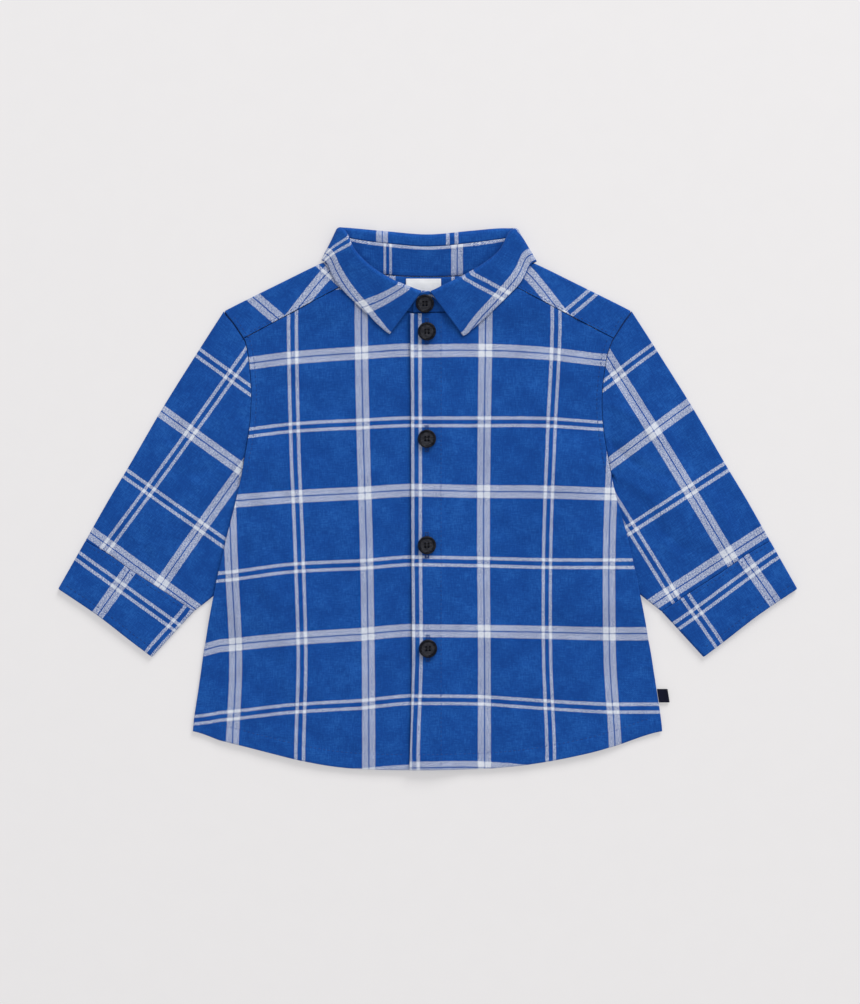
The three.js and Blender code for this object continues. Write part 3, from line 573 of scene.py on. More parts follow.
@dataclass
class ClothGrid:
    """A grid over one piece of cloth."""

    middle: Array
    normal: Array
    thickness: Array
    weave: Array
    ring: bool = False
    keep: Array | None = None

    def _cells(self) -> Array:
        """Return which cells are cloth, with an empty border where the cloth ends."""
        across, up = self.middle.shape[0] - 1, self.middle.shape[1] - 1
        cells = np.ones((across, up), dtype=bool) if self.keep is None else self.keep
        bordered = np.zeros((across + 2, up + 2), dtype=bool)
        bordered[1:-1, 1:-1] = cells
        if self.ring:
            bordered[0], bordered[-1] = bordered[-2], bordered[1]
        return bordered

    def _quads(self) -> tuple[Array, Array]:
        """Return the faces' corners as vertex numbers and as grid places."""
        across, up = self.middle.shape[0] - 1, self.middle.shape[1] - 1
        count = across if self.ring else across + 1
        bordered = self._cells()
        i, j = np.nonzero(bordered[1:-1, 1:-1])

        def corner(column: Array, row: Array, inner: int) -> Array:
            """Return vertex number, column and row of a corner."""
            return np.stack(
                [inner * count * (up + 1) + (column % count) * (up + 1) + row, column, row], axis=-1
            )

        a, b, c, d = (0, 0), (1, 0), (1, 1), (0, 1)
        faces = [np.stack([corner(i + p, j + q, 0) for p, q in (a, b, c, d)], axis=1)]
        faces.append(np.stack([corner(i + p, j + q, 1) for p, q in (a, d, c, b)], axis=1))
        for (near, far), (step_i, step_j) in (
            ((a, b), (0, -1)), ((c, d), (0, 1)), ((b, c), (1, 0)), ((d, a), (-1, 0))
        ):
            open_edge = ~bordered[i + 1 + step_i, j + 1 + step_j]
            p, q = i[open_edge], j[open_edge]
            walls = [corner(p + near[0], q + near[1], 0), corner(p + near[0], q + near[1], 1)]
            walls += [corner(p + far[0], q + far[1], 1), corner(p + far[0], q + far[1], 0)]
            faces.append(np.stack(walls, axis=1))
        corners = np.concatenate(faces)
        return corners[..., 0], corners[..., 1:]

    def build(self, name: str) -> Piece:
        """Make the cloth as a closed shell.

        Args:
            name: the piece's name.

        Returns:
            The new object, with its stripes as UVs.
        """
        count = self.middle.shape[0] - (1 if self.ring else 0)
        half = (self.normal * self.thickness[..., None] / 2)[:count]
        middle = self.middle[:count]
        points = np.concatenate([(middle + half).reshape(-1, 3), (middle - half).reshape(-1, 3)])
        quads, places = self._quads()
        first, second, third = points[quads[:, 0]], points[quads[:, 1]], points[quads[:, 2]]
        if np.einsum("ij,ij->i", first, np.cross(second, third)).sum() < 0:
            quads, places = quads[:, ::-1], places[:, ::-1]
        uvs = self.weave[places[..., 0], places[..., 1]]
        return mesh_object(name, points, quads, uvs)


def dress(made: Piece, finish: Material, node: str = "") -> None:
    """Args:
        made: the piece.
        finish: its material.
        node: the solid that it stands for.
    """
    if finish.name not in made.data.materials:
        made.data.materials.append(finish)
    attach(made, "root")
    if node:
        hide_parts(node)


def mesh_object(name: str, points: Array, quads: Array, uvs: Array | None = None) -> Piece:
    """Make a smooth object out of four-cornered faces.

    Args:
        name: the piece's name.
        points: its corners, in millimetres.
        quads: the corners' numbers, four for each face.
        uvs: one UV for each face's corner.

    Returns:
        The new object.
    """
    mesh = bpy.data.meshes.new(name)
    mesh.vertices.add(len(points))
    mesh.vertices.foreach_set("co", (points * MM).astype(np.float32).ravel())
    mesh.loops.add(quads.size)
    mesh.loops.foreach_set("vertex_index", quads.astype(np.int32).ravel())
    mesh.polygons.add(len(quads))
    mesh.polygons.foreach_set("loop_start", np.arange(0, quads.size, 4, dtype=np.int32))
    mesh.polygons.foreach_set("use_smooth", np.ones(len(quads), dtype=bool))
    mesh.update(calc_edges=True)
    if uvs is not None:
        mesh.uv_layers.new(name="weave").data.foreach_set("uv", uvs.astype(np.float32).ravel())
    mesh.validate()
    made = bpy.data.objects.new(name, mesh)
    bpy.context.scene.collection.objects.link(made)
    return made


def stripe_number(lines: Array, place: Array, spacing: float, first: int) -> Array:
    """Number the stripes across a piece.

    Args:
        lines: where each stripe lies, with the stripes in the first axis.
        place: where to read the number.
        spacing: the distance between stripes outside the lines.
        first: the first line's number: broad stripes are even and pairs are odd.

    Returns:
        The number at each place, with its fraction.
    """
    number = first + np.minimum(0, place - lines[0]) / spacing + np.maximum(0, place - lines[-1]) / spacing
    for near, far in zip(lines[:-1], lines[1:]):
        number = number + np.clip((place - near) / (far - near), 0, 1)
    return number


WARP_SPACING = 42.4
WEFT_SPACING = 44.6


@dataclass(frozen=True)
class StripeChart:
    """Where the woven stripes lie on a piece, in the piece's own two directions."""

    uprights: Table
    levels: Table
    first_upright: int
    first_level: int

    def weave(self, across: Array, up: Array) -> Array:
        """Return the stripes' numbers at points of the piece."""
        key, *names = self.uprights.names.split()
        uprights = np.stack([self.uprights.at(key, name, up) for name in names])
        key, *names = self.levels.names.split()
        levels = np.stack([self.levels.at(key, name, across) for name in names])
        return plan(
            stripe_number(uprights, across, WARP_SPACING, self.first_upright),
            stripe_number(levels, up, WEFT_SPACING, self.first_level),
        )


def grid_shares(columns: Array, rows: Array) -> tuple[Array, Array]:
    """Spread column and row places over a whole grid."""
    return np.meshgrid(columns, rows, indexing="ij")


UP = np.array([0.0, 0.0, 1.0])


@dataclass(frozen=True)
class Sewing:
    """How seams shape the cloth beside them."""

    hem_depth: float = 10.0
    hem_fold: float = 0.35
    stitch_dip: float = 0.26
    stitch_dip_width: float = 0.8
    pucker: float = 0.13
    pucker_length: float = 7.5
    pucker_reach: float = 5.5
    welt: float = 0.32
    welt_width: float = 3.0

    def dip(self, distance: Array) -> Array:
        """Return the dip along a row of stitches."""
        return -self.stitch_dip * np.exp(-((distance / self.stitch_dip_width) ** 2))

    def puckers(self, distance: Array, place: Array, seed: int) -> Array:
        """Ripple the cloth beside a seam.

        Args:
            distance: how far each point is from the stitches.
            place: how far it is along them.
            seed: picks the ripples.

        Returns:
            Heights to add.
        """
        chance = np.random.default_rng(seed)
        ripple = np.zeros(np.shape(place))
        for share in (0.62, 0.83, 1.0, 1.37, 1.9):
            phase = chance.uniform(0, 6.28)
            wave = np.sin(2 * np.pi * place / (self.pucker_length * share) + phase)
            ripple += wave * chance.uniform(0.4, 1)
        return self.pucker * 0.6 * ripple * np.exp(-((distance / self.pucker_reach) ** 2))

    def raised(self, distance: Array) -> Array:
        """Return the height of a welt whose edge is at distance 0."""
        return self.welt * (1 - ramp(distance, self.welt_width - 0.8, self.welt_width + 0.8))


SEWING = Sewing()


def soft_surface(x: Array, y: Array, seed: int) -> Array:
    """Return the slight unevenness of cloth that has been smoothed by hand."""
    return 0.24 * unevenness(x, y, seed, 34) + 0.10 * unevenness(x, y, seed + 1, 13)


@dataclass
class ClothPiece:
    """One piece of cloth and the size that it was cut to."""

    name: str
    node: str
    cut: tuple[float, float]
    area: float
    rests_on: tuple[str, ...] = ()

    def grid(self) -> ClothGrid:
        """Return the piece's grid, which each kind of piece makes in its own way."""
        raise NotImplementedError

    def make(self, finish: Material) -> Piece:
        """Args:
            finish: the cloth's material.

        Returns:
            The new object.
        """
        made = self.grid().build(self.name)
        dress(made, finish, self.node)
        area = sum(face.area for face in made.data.polygons) / 2
        log.info("%s: %d faces, %.4f square metres", self.name, len(made.data.polygons), area)
        return made


@dataclass
class BackPanel(ClothPiece):
    """The back, from the hem to the yoke's back seam."""

    cloth: float = 0.85
    hem_inset: float = 0.6
    cell: float = 2.2
    width: float = 290.0
    length: float = 265.0
    chart: StripeChart = StripeChart(
        Table("y a b", ((-160, 0, 42.4), (100, 0, 42.4))),
        Table("x a b", ((-150, -41.0, 3.6), (150, -41.0, 3.6))),
        1,
        1,
    )

    def grid(self) -> ClothGrid:
        """Return the back's grid."""
        bottom = OUTLINE.column("y")[-1] + self.hem_inset
        seam = LAY.back_yoke_y - LAY.seam
        corners = [LAY.outline_point(side, y)[0] for y in (bottom, seam) for side in (-1, 1)]
        edges = PlanPatch(
            first=lambda v: LAY.outline_point(-1, bottom + v * (seam - bottom)),
            last=lambda v: LAY.outline_point(1, bottom + v * (seam - bottom)),
            bottom=lambda u: LAY.hem_point(corners[0] + u * (corners[1] - corners[0]), self.hem_inset),
            top=lambda u: plan(corners[2] + u * (corners[3] - corners[2]), seam),
        )
        width, length = self.width, self.length
        u, v = grid_shares(edge_shares(width, self.cell), edge_shares(length, self.cell))
        points = edges.points(u, v)
        x, y = points[..., 0], points[..., 1]
        hem = y - HEM.at("x", "y", x)
        thickness = self.cloth - 0.15 * ramp(hem, 12, 8)
        height = LAY.back_under(x, y) + thickness / 2 + SEWING.dip(hem - SEWING.hem_depth) * -0.3
        edge = rounded(thickness, u * width, (1 - u) * width, v * length, (1 - v) * length)
        middle = np.dstack([x, y, height])
        return ClothGrid(middle, np.broadcast_to(UP, middle.shape), edge, self.chart.weave(x, y))


@dataclass
class FrontPanel(ClothPiece):
    """One front, from its side seam to its buttoned edge."""

    side: Side = Side.LEFT
    cloth: float = 0.9
    cell: float = 1.25
    width: float = 145.0
    length: float = 265.0
    crease_depth: float = 1.5
    overlap_groove: float = 0.35
    groove_width: float = 4.5
    edge_bow: Table = Table(
        "y bow", ((-172, 0), (-140, 1.0), (-103, 1.7), (0, 1.1), (60, 1.0), (100, 0.5), (118, 0))
    )

    def _edges(self, centre_x: float) -> PlanPatch:
        """Return the panel's four edges."""
        sign = self.side.value
        bottom = OUTLINE.column("y")[-1]
        right = self.side is Side.RIGHT
        corner, centre = (RIGHT_YOKE_CORNER, LAST_STATION) if right else (LEFT_YOKE_CORNER, 0)
        seam_y = LAY.front_yoke_y - LAY.seam
        seam_start, seam_end = LAY.outline_point(sign, seam_y), LAY.neck_point(corner) - [0, LAY.seam]
        hem_x = LAY.outline_point(sign, bottom)[0]
        top_centre = LAY.neck_point(centre)
        hem_y = LAY.hem_point(centre_x)[1]

        def top(u: Array) -> Array:
            """Return the yoke seam, and then the neck round to the buttoned edge."""
            point = LAY.neck_point(corner + (2 * np.maximum(u, 0.5) - 1) * (centre - corner))
            point[..., 1] -= LAY.seam * (2 - 2 * np.maximum(u, 0.5))
            point[..., 0] += (centre_x - top_centre[0]) * ramp(u, 0.86, 1)
            return np.where((u < 0.5)[..., None], mix(seam_start, seam_end, np.minimum(2 * u, 1)), point)

        def last(v: Array) -> Array:
            """Return the buttoned edge, which bows a little where it shows."""
            y = hem_y + v * (top_centre[1] - hem_y)
            return plan(centre_x + self.edge_bow.straight(y) * right, y)

        return PlanPatch(
            first=lambda v: LAY.outline_point(sign, bottom + v * (seam_y - bottom)),
            last=last,
            bottom=lambda u: LAY.hem_point(hem_x + u * (centre_x - hem_x)),
            top=top,
        )

    def relief(self, x: Array, y: Array) -> Array:
        """Return the creases, puckers and seam dips on this front."""
        seed = 11 if self.side is Side.LEFT else 23
        inside = LAY.from_side(x, y)
        hem = y - HEM.at("x", "y", x)
        held = ramp(inside, 0, 14)
        relief = (self.crease_depth * crease_rise(FRONT_CREASES, x, y) + soft_surface(x, y, seed)) * held
        relief += SEWING.dip(hem - SEWING.hem_depth) + SEWING.puckers(hem - 8, x, seed)
        relief += (
            SEWING.puckers(inside - 2, y, seed + 1) * 0.9
            + SEWING.dip(inside - 3.2) * 0.6 * ramp(y, 8, 20)
        )
        relief += SEWING.raised(inside) * ramp(y, 8, 20) * 0.8
        return relief

    def grid(self) -> ClothGrid:
        """Return this front's grid."""
        right = self.side is Side.RIGHT
        centre_x = LAY.right_front_edge if right else LAY.left_front_edge
        edges = self._edges(centre_x)
        width, length = self.width, self.length
        u, v = grid_shares(edge_shares(width, self.cell), edge_shares(length, self.cell))
        points = edges.points(u, v)
        x, y = points[..., 0], points[..., 1]
        hem = y - HEM.at("x", "y", x)
        thickness = self.cloth + SEWING.hem_fold * ramp(hem, SEWING.hem_depth + 0.5, SEWING.hem_depth - 0.5)
        relief = self.relief(x, y)
        if right:
            thickness = thickness + LAY.right_front_cloth(x) - LAY.cloth
            relief += SEWING.dip(x - LAY.facing_edge) + SEWING.puckers(x - 2, y, 31) * 0.8
            under = LAY.right_front_under(x, y)
        else:
            relief *= ramp(x, 10, -16)
            from_edge = (x - LAY.right_front_edge) / self.groove_width
            relief -= self.overlap_groove * np.exp(-(from_edge**2)) * ramp(hem, 0, 12)
            under = LAY.left_front_under(x, y)
        charts = (
            StripeChart(LEFT_UPRIGHTS, LEFT_LEVELS, 0, -2),
            StripeChart(RIGHT_UPRIGHTS, RIGHT_LEVELS, 3, -2),
        )
        edge = rounded(thickness, u * width, (1 - u) * width, v * length, (1 - v) * length)
        middle = np.dstack([x, y, under + self.cloth / 2 + relief + (thickness - self.cloth) * 0.5])
        return ClothGrid(middle, np.broadcast_to(UP, middle.shape), edge, charts[right].weave(x, y))


@dataclass
class Yoke(ClothPiece):
    """The yoke: over both shoulders in one piece, with a flap down each front."""

    cloth: float = 0.9
    shoulder_columns: int = 8
    neck_columns: int = 12
    back_rows: int = 6
    fold_rows: int = 5
    flap_rows: int = 4
    shoulder: float = 80.0
    flap_length: float = 32.0
    back_length: float = 45.0
    neck_cells: int = 74
    well_inside: float = 9.0
    broad_upright: float = -112.0
    upright_spacing: float = 43.56
    broad_level: float = 157.4

    @property
    def columns(self) -> int:
        """Return the number of columns."""
        return 2 * self.shoulder_columns + self.neck_columns

    def _outward(self, side: Array) -> Array:
        """Return the way that the shoulder's edge looks."""
        tip, neck = (plan(*SHOULDER.rows[row]) for row in (0, -1))
        slope = unit(np.array([tip[1] - neck[1], neck[0] - tip[0]]))
        return plan(side * abs(slope[0]), abs(slope[1]))

    def fold_point(self, side: Array, share: Array) -> Array:
        """Return the middle of the shoulder's fold."""
        radius = (LAY.cloth + LAY.shoulder_air) / 2
        left, right = SHOULDER.along(share, -1), SHOULDER.along(share, 1)
        point = np.where((np.asarray(side) < 0)[..., None], left, right)
        return point - self._outward(side) * (radius + LAY.cloth / 2)

    def _back(self) -> PlanPatch:
        """Return the four edges of the part behind the shoulders."""
        seam = [LAY.outline_point(side, LAY.back_yoke_y) for side in (-1, 1)]

        def top(u: Array) -> Array:
            """Return the shoulder folds and the neck between them."""
            column = np.asarray(u) * self.columns
            side = np.where(column < self.columns / 2, -1, 1)
            share = np.minimum(column, self.columns - column) / self.shoulder_columns
            across = np.clip((column - self.shoulder_columns) / self.neck_columns, 0, 1)
            neck = LAY.neck_point(LEFT_NECK_POINT + across * (RIGHT_NECK_POINT - LEFT_NECK_POINT))
            return np.where((share <= 1)[..., None], self.fold_point(side, np.minimum(share, 1)), neck)

        def armhole(side: int) -> PlanEdge:
            """Return the armhole's edge up to the shoulder."""
            tip = self.fold_point(np.array(side), np.array(0.0))

            def edge(v: Array) -> Array:
                """Return the edge's points."""
                y = LAY.back_yoke_y + v * (tip[1] - LAY.back_yoke_y)
                return mix(
                    LAY.outline_point(side, y), np.broadcast_to(tip, np.shape(v) + (2,)), ramp(v, 0.9, 1)
                )

            return edge

        return PlanPatch(armhole(-1), armhole(1), lambda u: mix(seam[0], seam[1], u), top)

    def _flap(self, side: int) -> PlanPatch:
        """Return the four edges of one flap."""
        corner = LAY.neck_point(LEFT_YOKE_CORNER if side < 0 else RIGHT_YOKE_CORNER)
        start = LAY.outline_point(side, LAY.front_yoke_y)
        tip, neck_end = (self.fold_point(np.array(side), np.array(share)) for share in (0.0, 1.0))

        def armhole(v: Array) -> Array:
            """Return the armhole's edge down the front."""
            outline = LAY.outline_point(side, start[1] + v * (tip[1] - start[1]))
            return mix(outline, np.broadcast_to(tip, outline.shape), ramp(v, 0.85, 1))

        return PlanPatch(
            armhole,
            lambda v: mix(corner, neck_end, v),
            lambda u: mix(start, corner, u),
            lambda u: self.fold_point(np.full(np.shape(u), side), u),
        )

    def grid(self) -> ClothGrid:
        """Return the yoke's grid: its rows go up the back, round the fold and down the front."""
        shoulder = edge_shares(self.shoulder, 1.6)[:-3] * self.shoulder_columns
        shoulder = np.append(shoulder, self.shoulder_columns)
        neck = np.linspace(0, self.neck_columns, self.neck_cells)[1:-1] + self.shoulder_columns
        columns = np.concatenate([shoulder, neck, (self.columns - shoulder)[::-1]])
        back = edge_shares(self.back_length, 1.5)
        back = np.append(back[back < 0.985], 1) * self.back_rows
        fold = np.linspace(0, self.fold_rows, 9)[1:] + self.back_rows
        flap = edge_shares(self.flap_length, 1.3)[3:] * self.flap_rows + self.back_rows + self.fold_rows
        rows = np.concatenate([back, fold, flap])
        c, r = grid_shares(columns, rows)
        side = np.where(c < self.columns / 2, -1.0, 1.0)
        share = np.minimum(np.minimum(c, self.columns - c) / self.shoulder_columns, 1)
        turn = np.pi * (np.clip((r - self.back_rows) / self.fold_rows, 0, 1) - 0.5)
        on_flap = r > self.back_rows + self.fold_rows
        last = self.back_rows + self.fold_rows + self.flap_rows
        down = np.clip((last - r) / self.flap_rows, 0, 1)
        plans = self._back().points(c / self.columns, np.minimum(r / self.back_rows, 1))
        for sign in (-1, 1):
            flap_points = self._flap(sign).points(share, down)
            plans = np.where((on_flap & (side == sign))[..., None], flap_points, plans)
        x, y = plans[..., 0], plans[..., 1]
        air = np.where(on_flap, LAY.body_air_at(x, y), LAY.shoulder_air)
        half = (LAY.cloth + air) / 2
        outward = self._outward(side)
        normal = np.dstack([outward[..., 0] * np.cos(turn), outward[..., 1] * np.cos(turn), np.sin(turn)])
        core = LAY.back_under(x, y) + LAY.cloth / 2 + half
        middle = np.dstack([x, y, core]) + normal * half[..., None]
        seam_distance = down * 30
        relief = soft_surface(x, y, 41) * ramp(down, 1, 0.8) * on_flap * 0.8
        relief += (SEWING.raised(seam_distance) + SEWING.dip(seam_distance - 2.2) * 0.5) * on_flap
        relief += (SEWING.raised(share * 75) * 0.7 + SEWING.puckers(seam_distance, x, 43)) * on_flap
        middle = middle + normal * relief[..., None]
        from_end = np.where(on_flap, down * self.flap_length, self.well_inside) + 0.1
        from_back = r / self.back_rows * self.back_length
        neck_edge = np.where(
            share >= 1, np.maximum(self.back_rows - r, 0) / self.back_rows * 40, self.well_inside
        )
        thickness = rounded(self.cloth, share * self.shoulder, from_end, from_back, neck_edge + 0.1)
        keep_column = (c[:-1, :-1] < self.shoulder_columns - 1e-6) | (
            c[:-1, :-1] >= self.columns - self.shoulder_columns - 1e-6
        )
        keep = (r[:-1, :-1] < self.back_rows - 1e-6) | keep_column
        return ClothGrid(middle, normal, thickness, self._weave(plans, share, side, turn, on_flap), keep=keep)

    def _weave(self, plans: Array, share: Array, side: Array, turn: Array, on_flap: Array) -> Array:
        """Number the stripes, with the flaps laid open over the shoulders.

        Args:
            plans: the plan points.
            share: how far each is along the shoulder.
            side: the half that it belongs to.
            turn: how far it is round the fold.
            on_flap: whether it is on a flap.

        Returns:
            The stripes' numbers.
        """
        radius = (LAY.cloth + LAY.shoulder_air) / 2
        outward = self._outward(side)
        depth = ((self.fold_point(side, share) - plans) * outward).sum(axis=-1)
        opened = (turn + np.pi / 2) * radius + np.where(on_flap, 2 * depth, 0)
        opened = plans + outward * opened[..., None]
        return plan(
            (opened[..., 0] - self.broad_upright) / self.upright_spacing,
            (opened[..., 1] - self.broad_level) / WEFT_SPACING,
        )


@dataclass
class FlatTube(ClothPiece):
    """A flattened tube of cloth: a sleeve or a cuff."""

    side: Side = Side.LEFT
    cloth: float = 0.9
    solid_cloth: float = LAY.cloth
    width: float = 100.0
    length: float = 150.0
    cell: float = 1.45
    fold_columns: int = 9
    crease_depth: float = 1.0
    chart: StripeChart | None = None

    @property
    def axis(self) -> Array:
        """Return the way down the arm."""
        return np.array([-0.5829, -0.8125]) if self.side is Side.LEFT else np.array([0.5209, -0.8536])

    def edges(self) -> PlanPatch:
        """Return the tube's outer fold, inner fold, upper end and lower end."""
        raise NotImplementedError

    def air(self, u: Array, v: Array, plans: Array) -> Array:
        """Return the air inside the tube."""
        raise NotImplementedError

    def relief(self, u: Array, v: Array, plans: Array) -> Array:
        """Return the creases and seam dips on the front."""
        raise NotImplementedError

    def local(self, plans: Array) -> tuple[Array, Array]:
        """Return how far points are across and down the arm."""
        across = np.array([self.axis[1], -self.axis[0]]) * -self.side.value
        return plans @ across, plans @ self.axis

    def grid(self) -> ClothGrid:
        """Return the tube's grid, which starts and ends at the inner fold."""
        flat = edge_shares(self.width, self.cell)
        bends = np.linspace(0, 1, self.fold_columns + 1)[1:-1]
        shares = np.concatenate([flat[::-1], np.zeros(len(bends)), flat, np.ones(len(bends) + 1)])
        turns = np.concatenate(
            [np.full(len(flat), -0.5), -0.5 - bends, np.full(len(flat), 0.5), 0.5 - bends, [-0.5]]
        )
        column = np.arange(len(shares))
        rows = edge_shares(self.length, self.cell)
        number, v = grid_shares(column, rows)
        u, turn = shares[number], turns[number] * np.pi
        on_front = (number >= len(flat) + len(bends)) & (number < 2 * len(flat) + len(bends))
        edges = self.edges()
        outer, inner = edges.first(v), edges.last(v)
        across = unit(inner - outer)
        radius = (self.solid_cloth + LAY.edge_air) / 2
        inset = radius + self.solid_cloth / 2
        plans = edges.points(u, v) + across * (inset * (1 - 2 * u))[..., None]
        radius_here = np.where(on_front, (self.solid_cloth + self.air(u, v, plans)) / 2, radius)
        normal = np.dstack([across[..., 0] * np.cos(turn), across[..., 1] * np.cos(turn), np.sin(turn)])
        middle = np.dstack([plans, self.solid_cloth / 2 + radius_here]) + normal * radius_here[..., None]
        middle = middle + normal * (self.relief(u, v, plans) * on_front)[..., None]
        fold = outer + across * inset
        depth = ((plans - fold) * across).sum(axis=-1)
        behind = number < len(flat)
        bending = (number >= len(flat)) & ~on_front & (u < 0.5)
        arc = np.where(bending, (turn + 1.5 * np.pi) * radius, np.pi * radius)
        opened = np.where(
            (behind | bending)[..., None], fold - across * (arc + depth * behind)[..., None], plans
        )
        past = ~on_front & (u > 0.5) & ~behind
        opened = opened + across * ((0.5 * np.pi - turn) * radius * past)[..., None]
        thickness = rounded(self.cloth, v * self.length, (1 - v) * self.length)
        return ClothGrid(middle, normal, thickness, self.chart.weave(*self.local(opened)), ring=True)


@dataclass
class Sleeve(FlatTube):
    """One sleeve, from the armhole to the cuff."""

    seam_gap: float = 0.03

    def edges(self) -> PlanPatch:
        """Return the sleeve's edges."""
        sign = self.side.value
        tip = OUTLINE.column("y")[0]
        away = np.array([sign * self.seam_gap, 0.0])

        def armhole(u: Array) -> Array:
            """Return the edge that is sewn to the body."""
            point = LAY.outline_point(sign, tip + np.asarray(u) * (LAY.armpit_y - tip))
            return point + away * (1 + np.asarray(u) ** 2)[..., None]

        def inner(v: Array) -> Array:
            """Return the fold that is tucked under the body."""
            start = np.broadcast_to(armhole(np.array(1.0)), np.shape(v) + (2,))
            return mix(start, SLEEVE_INNER.along(v, sign), ramp(v, 0, 0.04))

        return PlanPatch(
            lambda v: SLEEVE_OUTER.along(v, sign) + away * (1 - np.asarray(v))[..., None],
            inner,
            armhole,
            lambda u: CUFF_SEAM.along(u, sign),
        )

    def air(self, u: Array, v: Array, plans: Array) -> Array:
        """Return the air inside the sleeve, none of it where the body covers it."""
        across = np.sin(np.pi * np.minimum(u / 0.72, 1)) ** 2
        length = ramp(v, 0, 0.3) * ramp(v, 1, 0.8)
        ridges = LAY.ridge_rise(plans[..., 0], plans[..., 1])
        return LAY.edge_air + LAY.sleeve_air * across * length + ridges * length * across

    def relief(self, u: Array, v: Array, plans: Array) -> Array:
        """Return the sleeve's creases and puckers."""
        x, y = plans[..., 0], plans[..., 1]
        open_part = ramp(u, 0, 0.12) * ramp(u, 0.85, 0.6)
        relief = self.crease_depth * crease_rise(SLEEVE_CREASES, x, y, self.side.value) * open_part
        relief += soft_surface(x, y, 51 + self.side.value) * open_part
        relief += SEWING.puckers((1 - v) * self.length, u * self.width, 57) * ramp(u, 0.97, 0.85) * 1.3
        return relief + SEWING.puckers(v * self.length, u * self.width, 59) * ramp(u, 0.97, 0.85) * 0.5


@dataclass
class Cuff(FlatTube):
    """One cuff: a stiffer band, closed all round."""

    seam_gap: float = 0.02

    def edges(self) -> PlanPatch:
        """Return the cuff's edges."""
        sign = self.side.value
        shift = np.array([sign, -1.4]) * self.seam_gap

        def seam(u: Array) -> Array:
            """Return the edge at the sleeve."""
            return CUFF_SEAM.along(u, sign) + shift

        def end(u: Array) -> Array:
            """Return the lower edge."""
            return CUFF_END.along(u, sign)

        zero, one = np.array(0.0), np.array(1.0)
        return PlanPatch(
            lambda v: mix(seam(zero), end(zero), v), lambda v: mix(seam(one), end(one), v), seam, end
        )

    def air(self, u: Array, v: Array, plans: Array) -> Array:
        """Return the air inside the cuff."""
        return LAY.edge_air + LAY.cuff_air * np.sin(np.pi * u)

    def relief(self, u: Array, v: Array, plans: Array) -> Array:
        """Return the dips along both rows of stitches."""
        near, far = v * self.length, (1 - v) * self.length
        relief = (SEWING.dip(near - 1.8) + SEWING.dip(far - 4.5)) * 0.8
        along = u * self.width
        relief += (SEWING.puckers(near - 1, along, 61) + SEWING.puckers(far - 3, along, 63)) * 0.6
        return relief + 0.12 * unevenness(plans[..., 0], plans[..., 1], 65, 26)


@dataclass
class CollarPiece(ClothPiece):
    """A layer of the collar, which runs round the neck from front end to front end."""

    cloth: float = 1.1
    station_length: float = 11.0

    def frame_at(self, station: Array) -> tuple[Array, Array, Array, Array, Array]:
        """Read the collar's shape.

        Args:
            station: places round the collar.

        Returns:
            The turn, the neck seam, the fold's top, the way up, and the way out.
        """
        turn = np.radians(COLLAR.read("turn", station))
        side = np.where(station < MIDDLE_BACK, -1.0, 1.0)
        neck, roll = LAY.neck_point(station), plan(
            COLLAR.read("rollX", station), COLLAR.read("rollY", station)
        )
        out = np.stack([side * np.cos(turn), np.zeros_like(turn), np.sin(turn)], axis=-1)
        return turn, neck, roll, unit(roll - neck), out

    @staticmethod
    def _under(station: Array, x: Array, y: Array) -> Array:
        """Return the height of the front that a station lies on."""
        return np.where(station > MIDDLE_BACK, LAY.right_front_under(x, y), LAY.left_front_under(x, y))

    @staticmethod
    def _ring_point(plans: Array, front: Array, back: Array, out: Array) -> Array:
        """Return a point at the front, side or back of a ring."""
        return np.dstack([plans, (front + back) / 2]) + out * ((front - back) / 2)[..., None]

    def foot(self, station: Array) -> Array:
        """Return the stand's lower edge."""
        turn, neck, _, up, out = self.frame_at(station)
        x, y = neck[..., 0], neck[..., 1]
        clear = 0.5 + 0.5 * ramp(np.abs(x), 44, 54) + 1.3 * np.cos(turn)
        half = LAY.stand_cloth / 2
        front, back = self._under(station, x, y) + half, LAY.back_under(x, y) + half
        return self._ring_point(neck + up * clear[..., None], front, back, out)

    def fold_point(self, station: Array, angle: Array | float) -> Array:
        """Return a point on the fold at the collar's top."""
        _, _, roll, up, out = self.frame_at(station)
        bend, reach = COLLAR.read("bend", station), COLLAR.read("reach", station)
        plans = roll - up * (bend + LAY.leaf_cloth / 2)[..., None]
        centre = np.dstack([plans, np.full(plans.shape[:-1], LAY.core_height)]) + out * reach[..., None]
        rise = np.dstack([up, np.zeros(plans.shape[:-1])])
        return centre + out * (bend * np.sin(angle))[..., None] + rise * (bend * np.cos(angle))[..., None]

    def leaf_edge(self, station: Array) -> Array:
        """Return the leaf's outer edge."""
        *_, out = self.frame_at(station)
        x, y = COLLAR.read("edgeX", station), COLLAR.read("edgeY", station)
        cloth = np.where(station > MIDDLE_BACK, LAY.right_front_cloth(x), LAY.cloth)
        front = self._under(station, x, y) + cloth + LAY.seam + LAY.leaf_cloth / 2
        return self._ring_point(plan(x, y), front, np.full(x.shape, LAY.leaf_cloth / 2), out)

    @staticmethod
    def normals(middle: Array) -> Array:
        """Return the way that a surface looks, measured on itself."""
        across, up = np.gradient(middle, axis=0), np.gradient(middle, axis=1)
        return unit(np.cross(up, across))


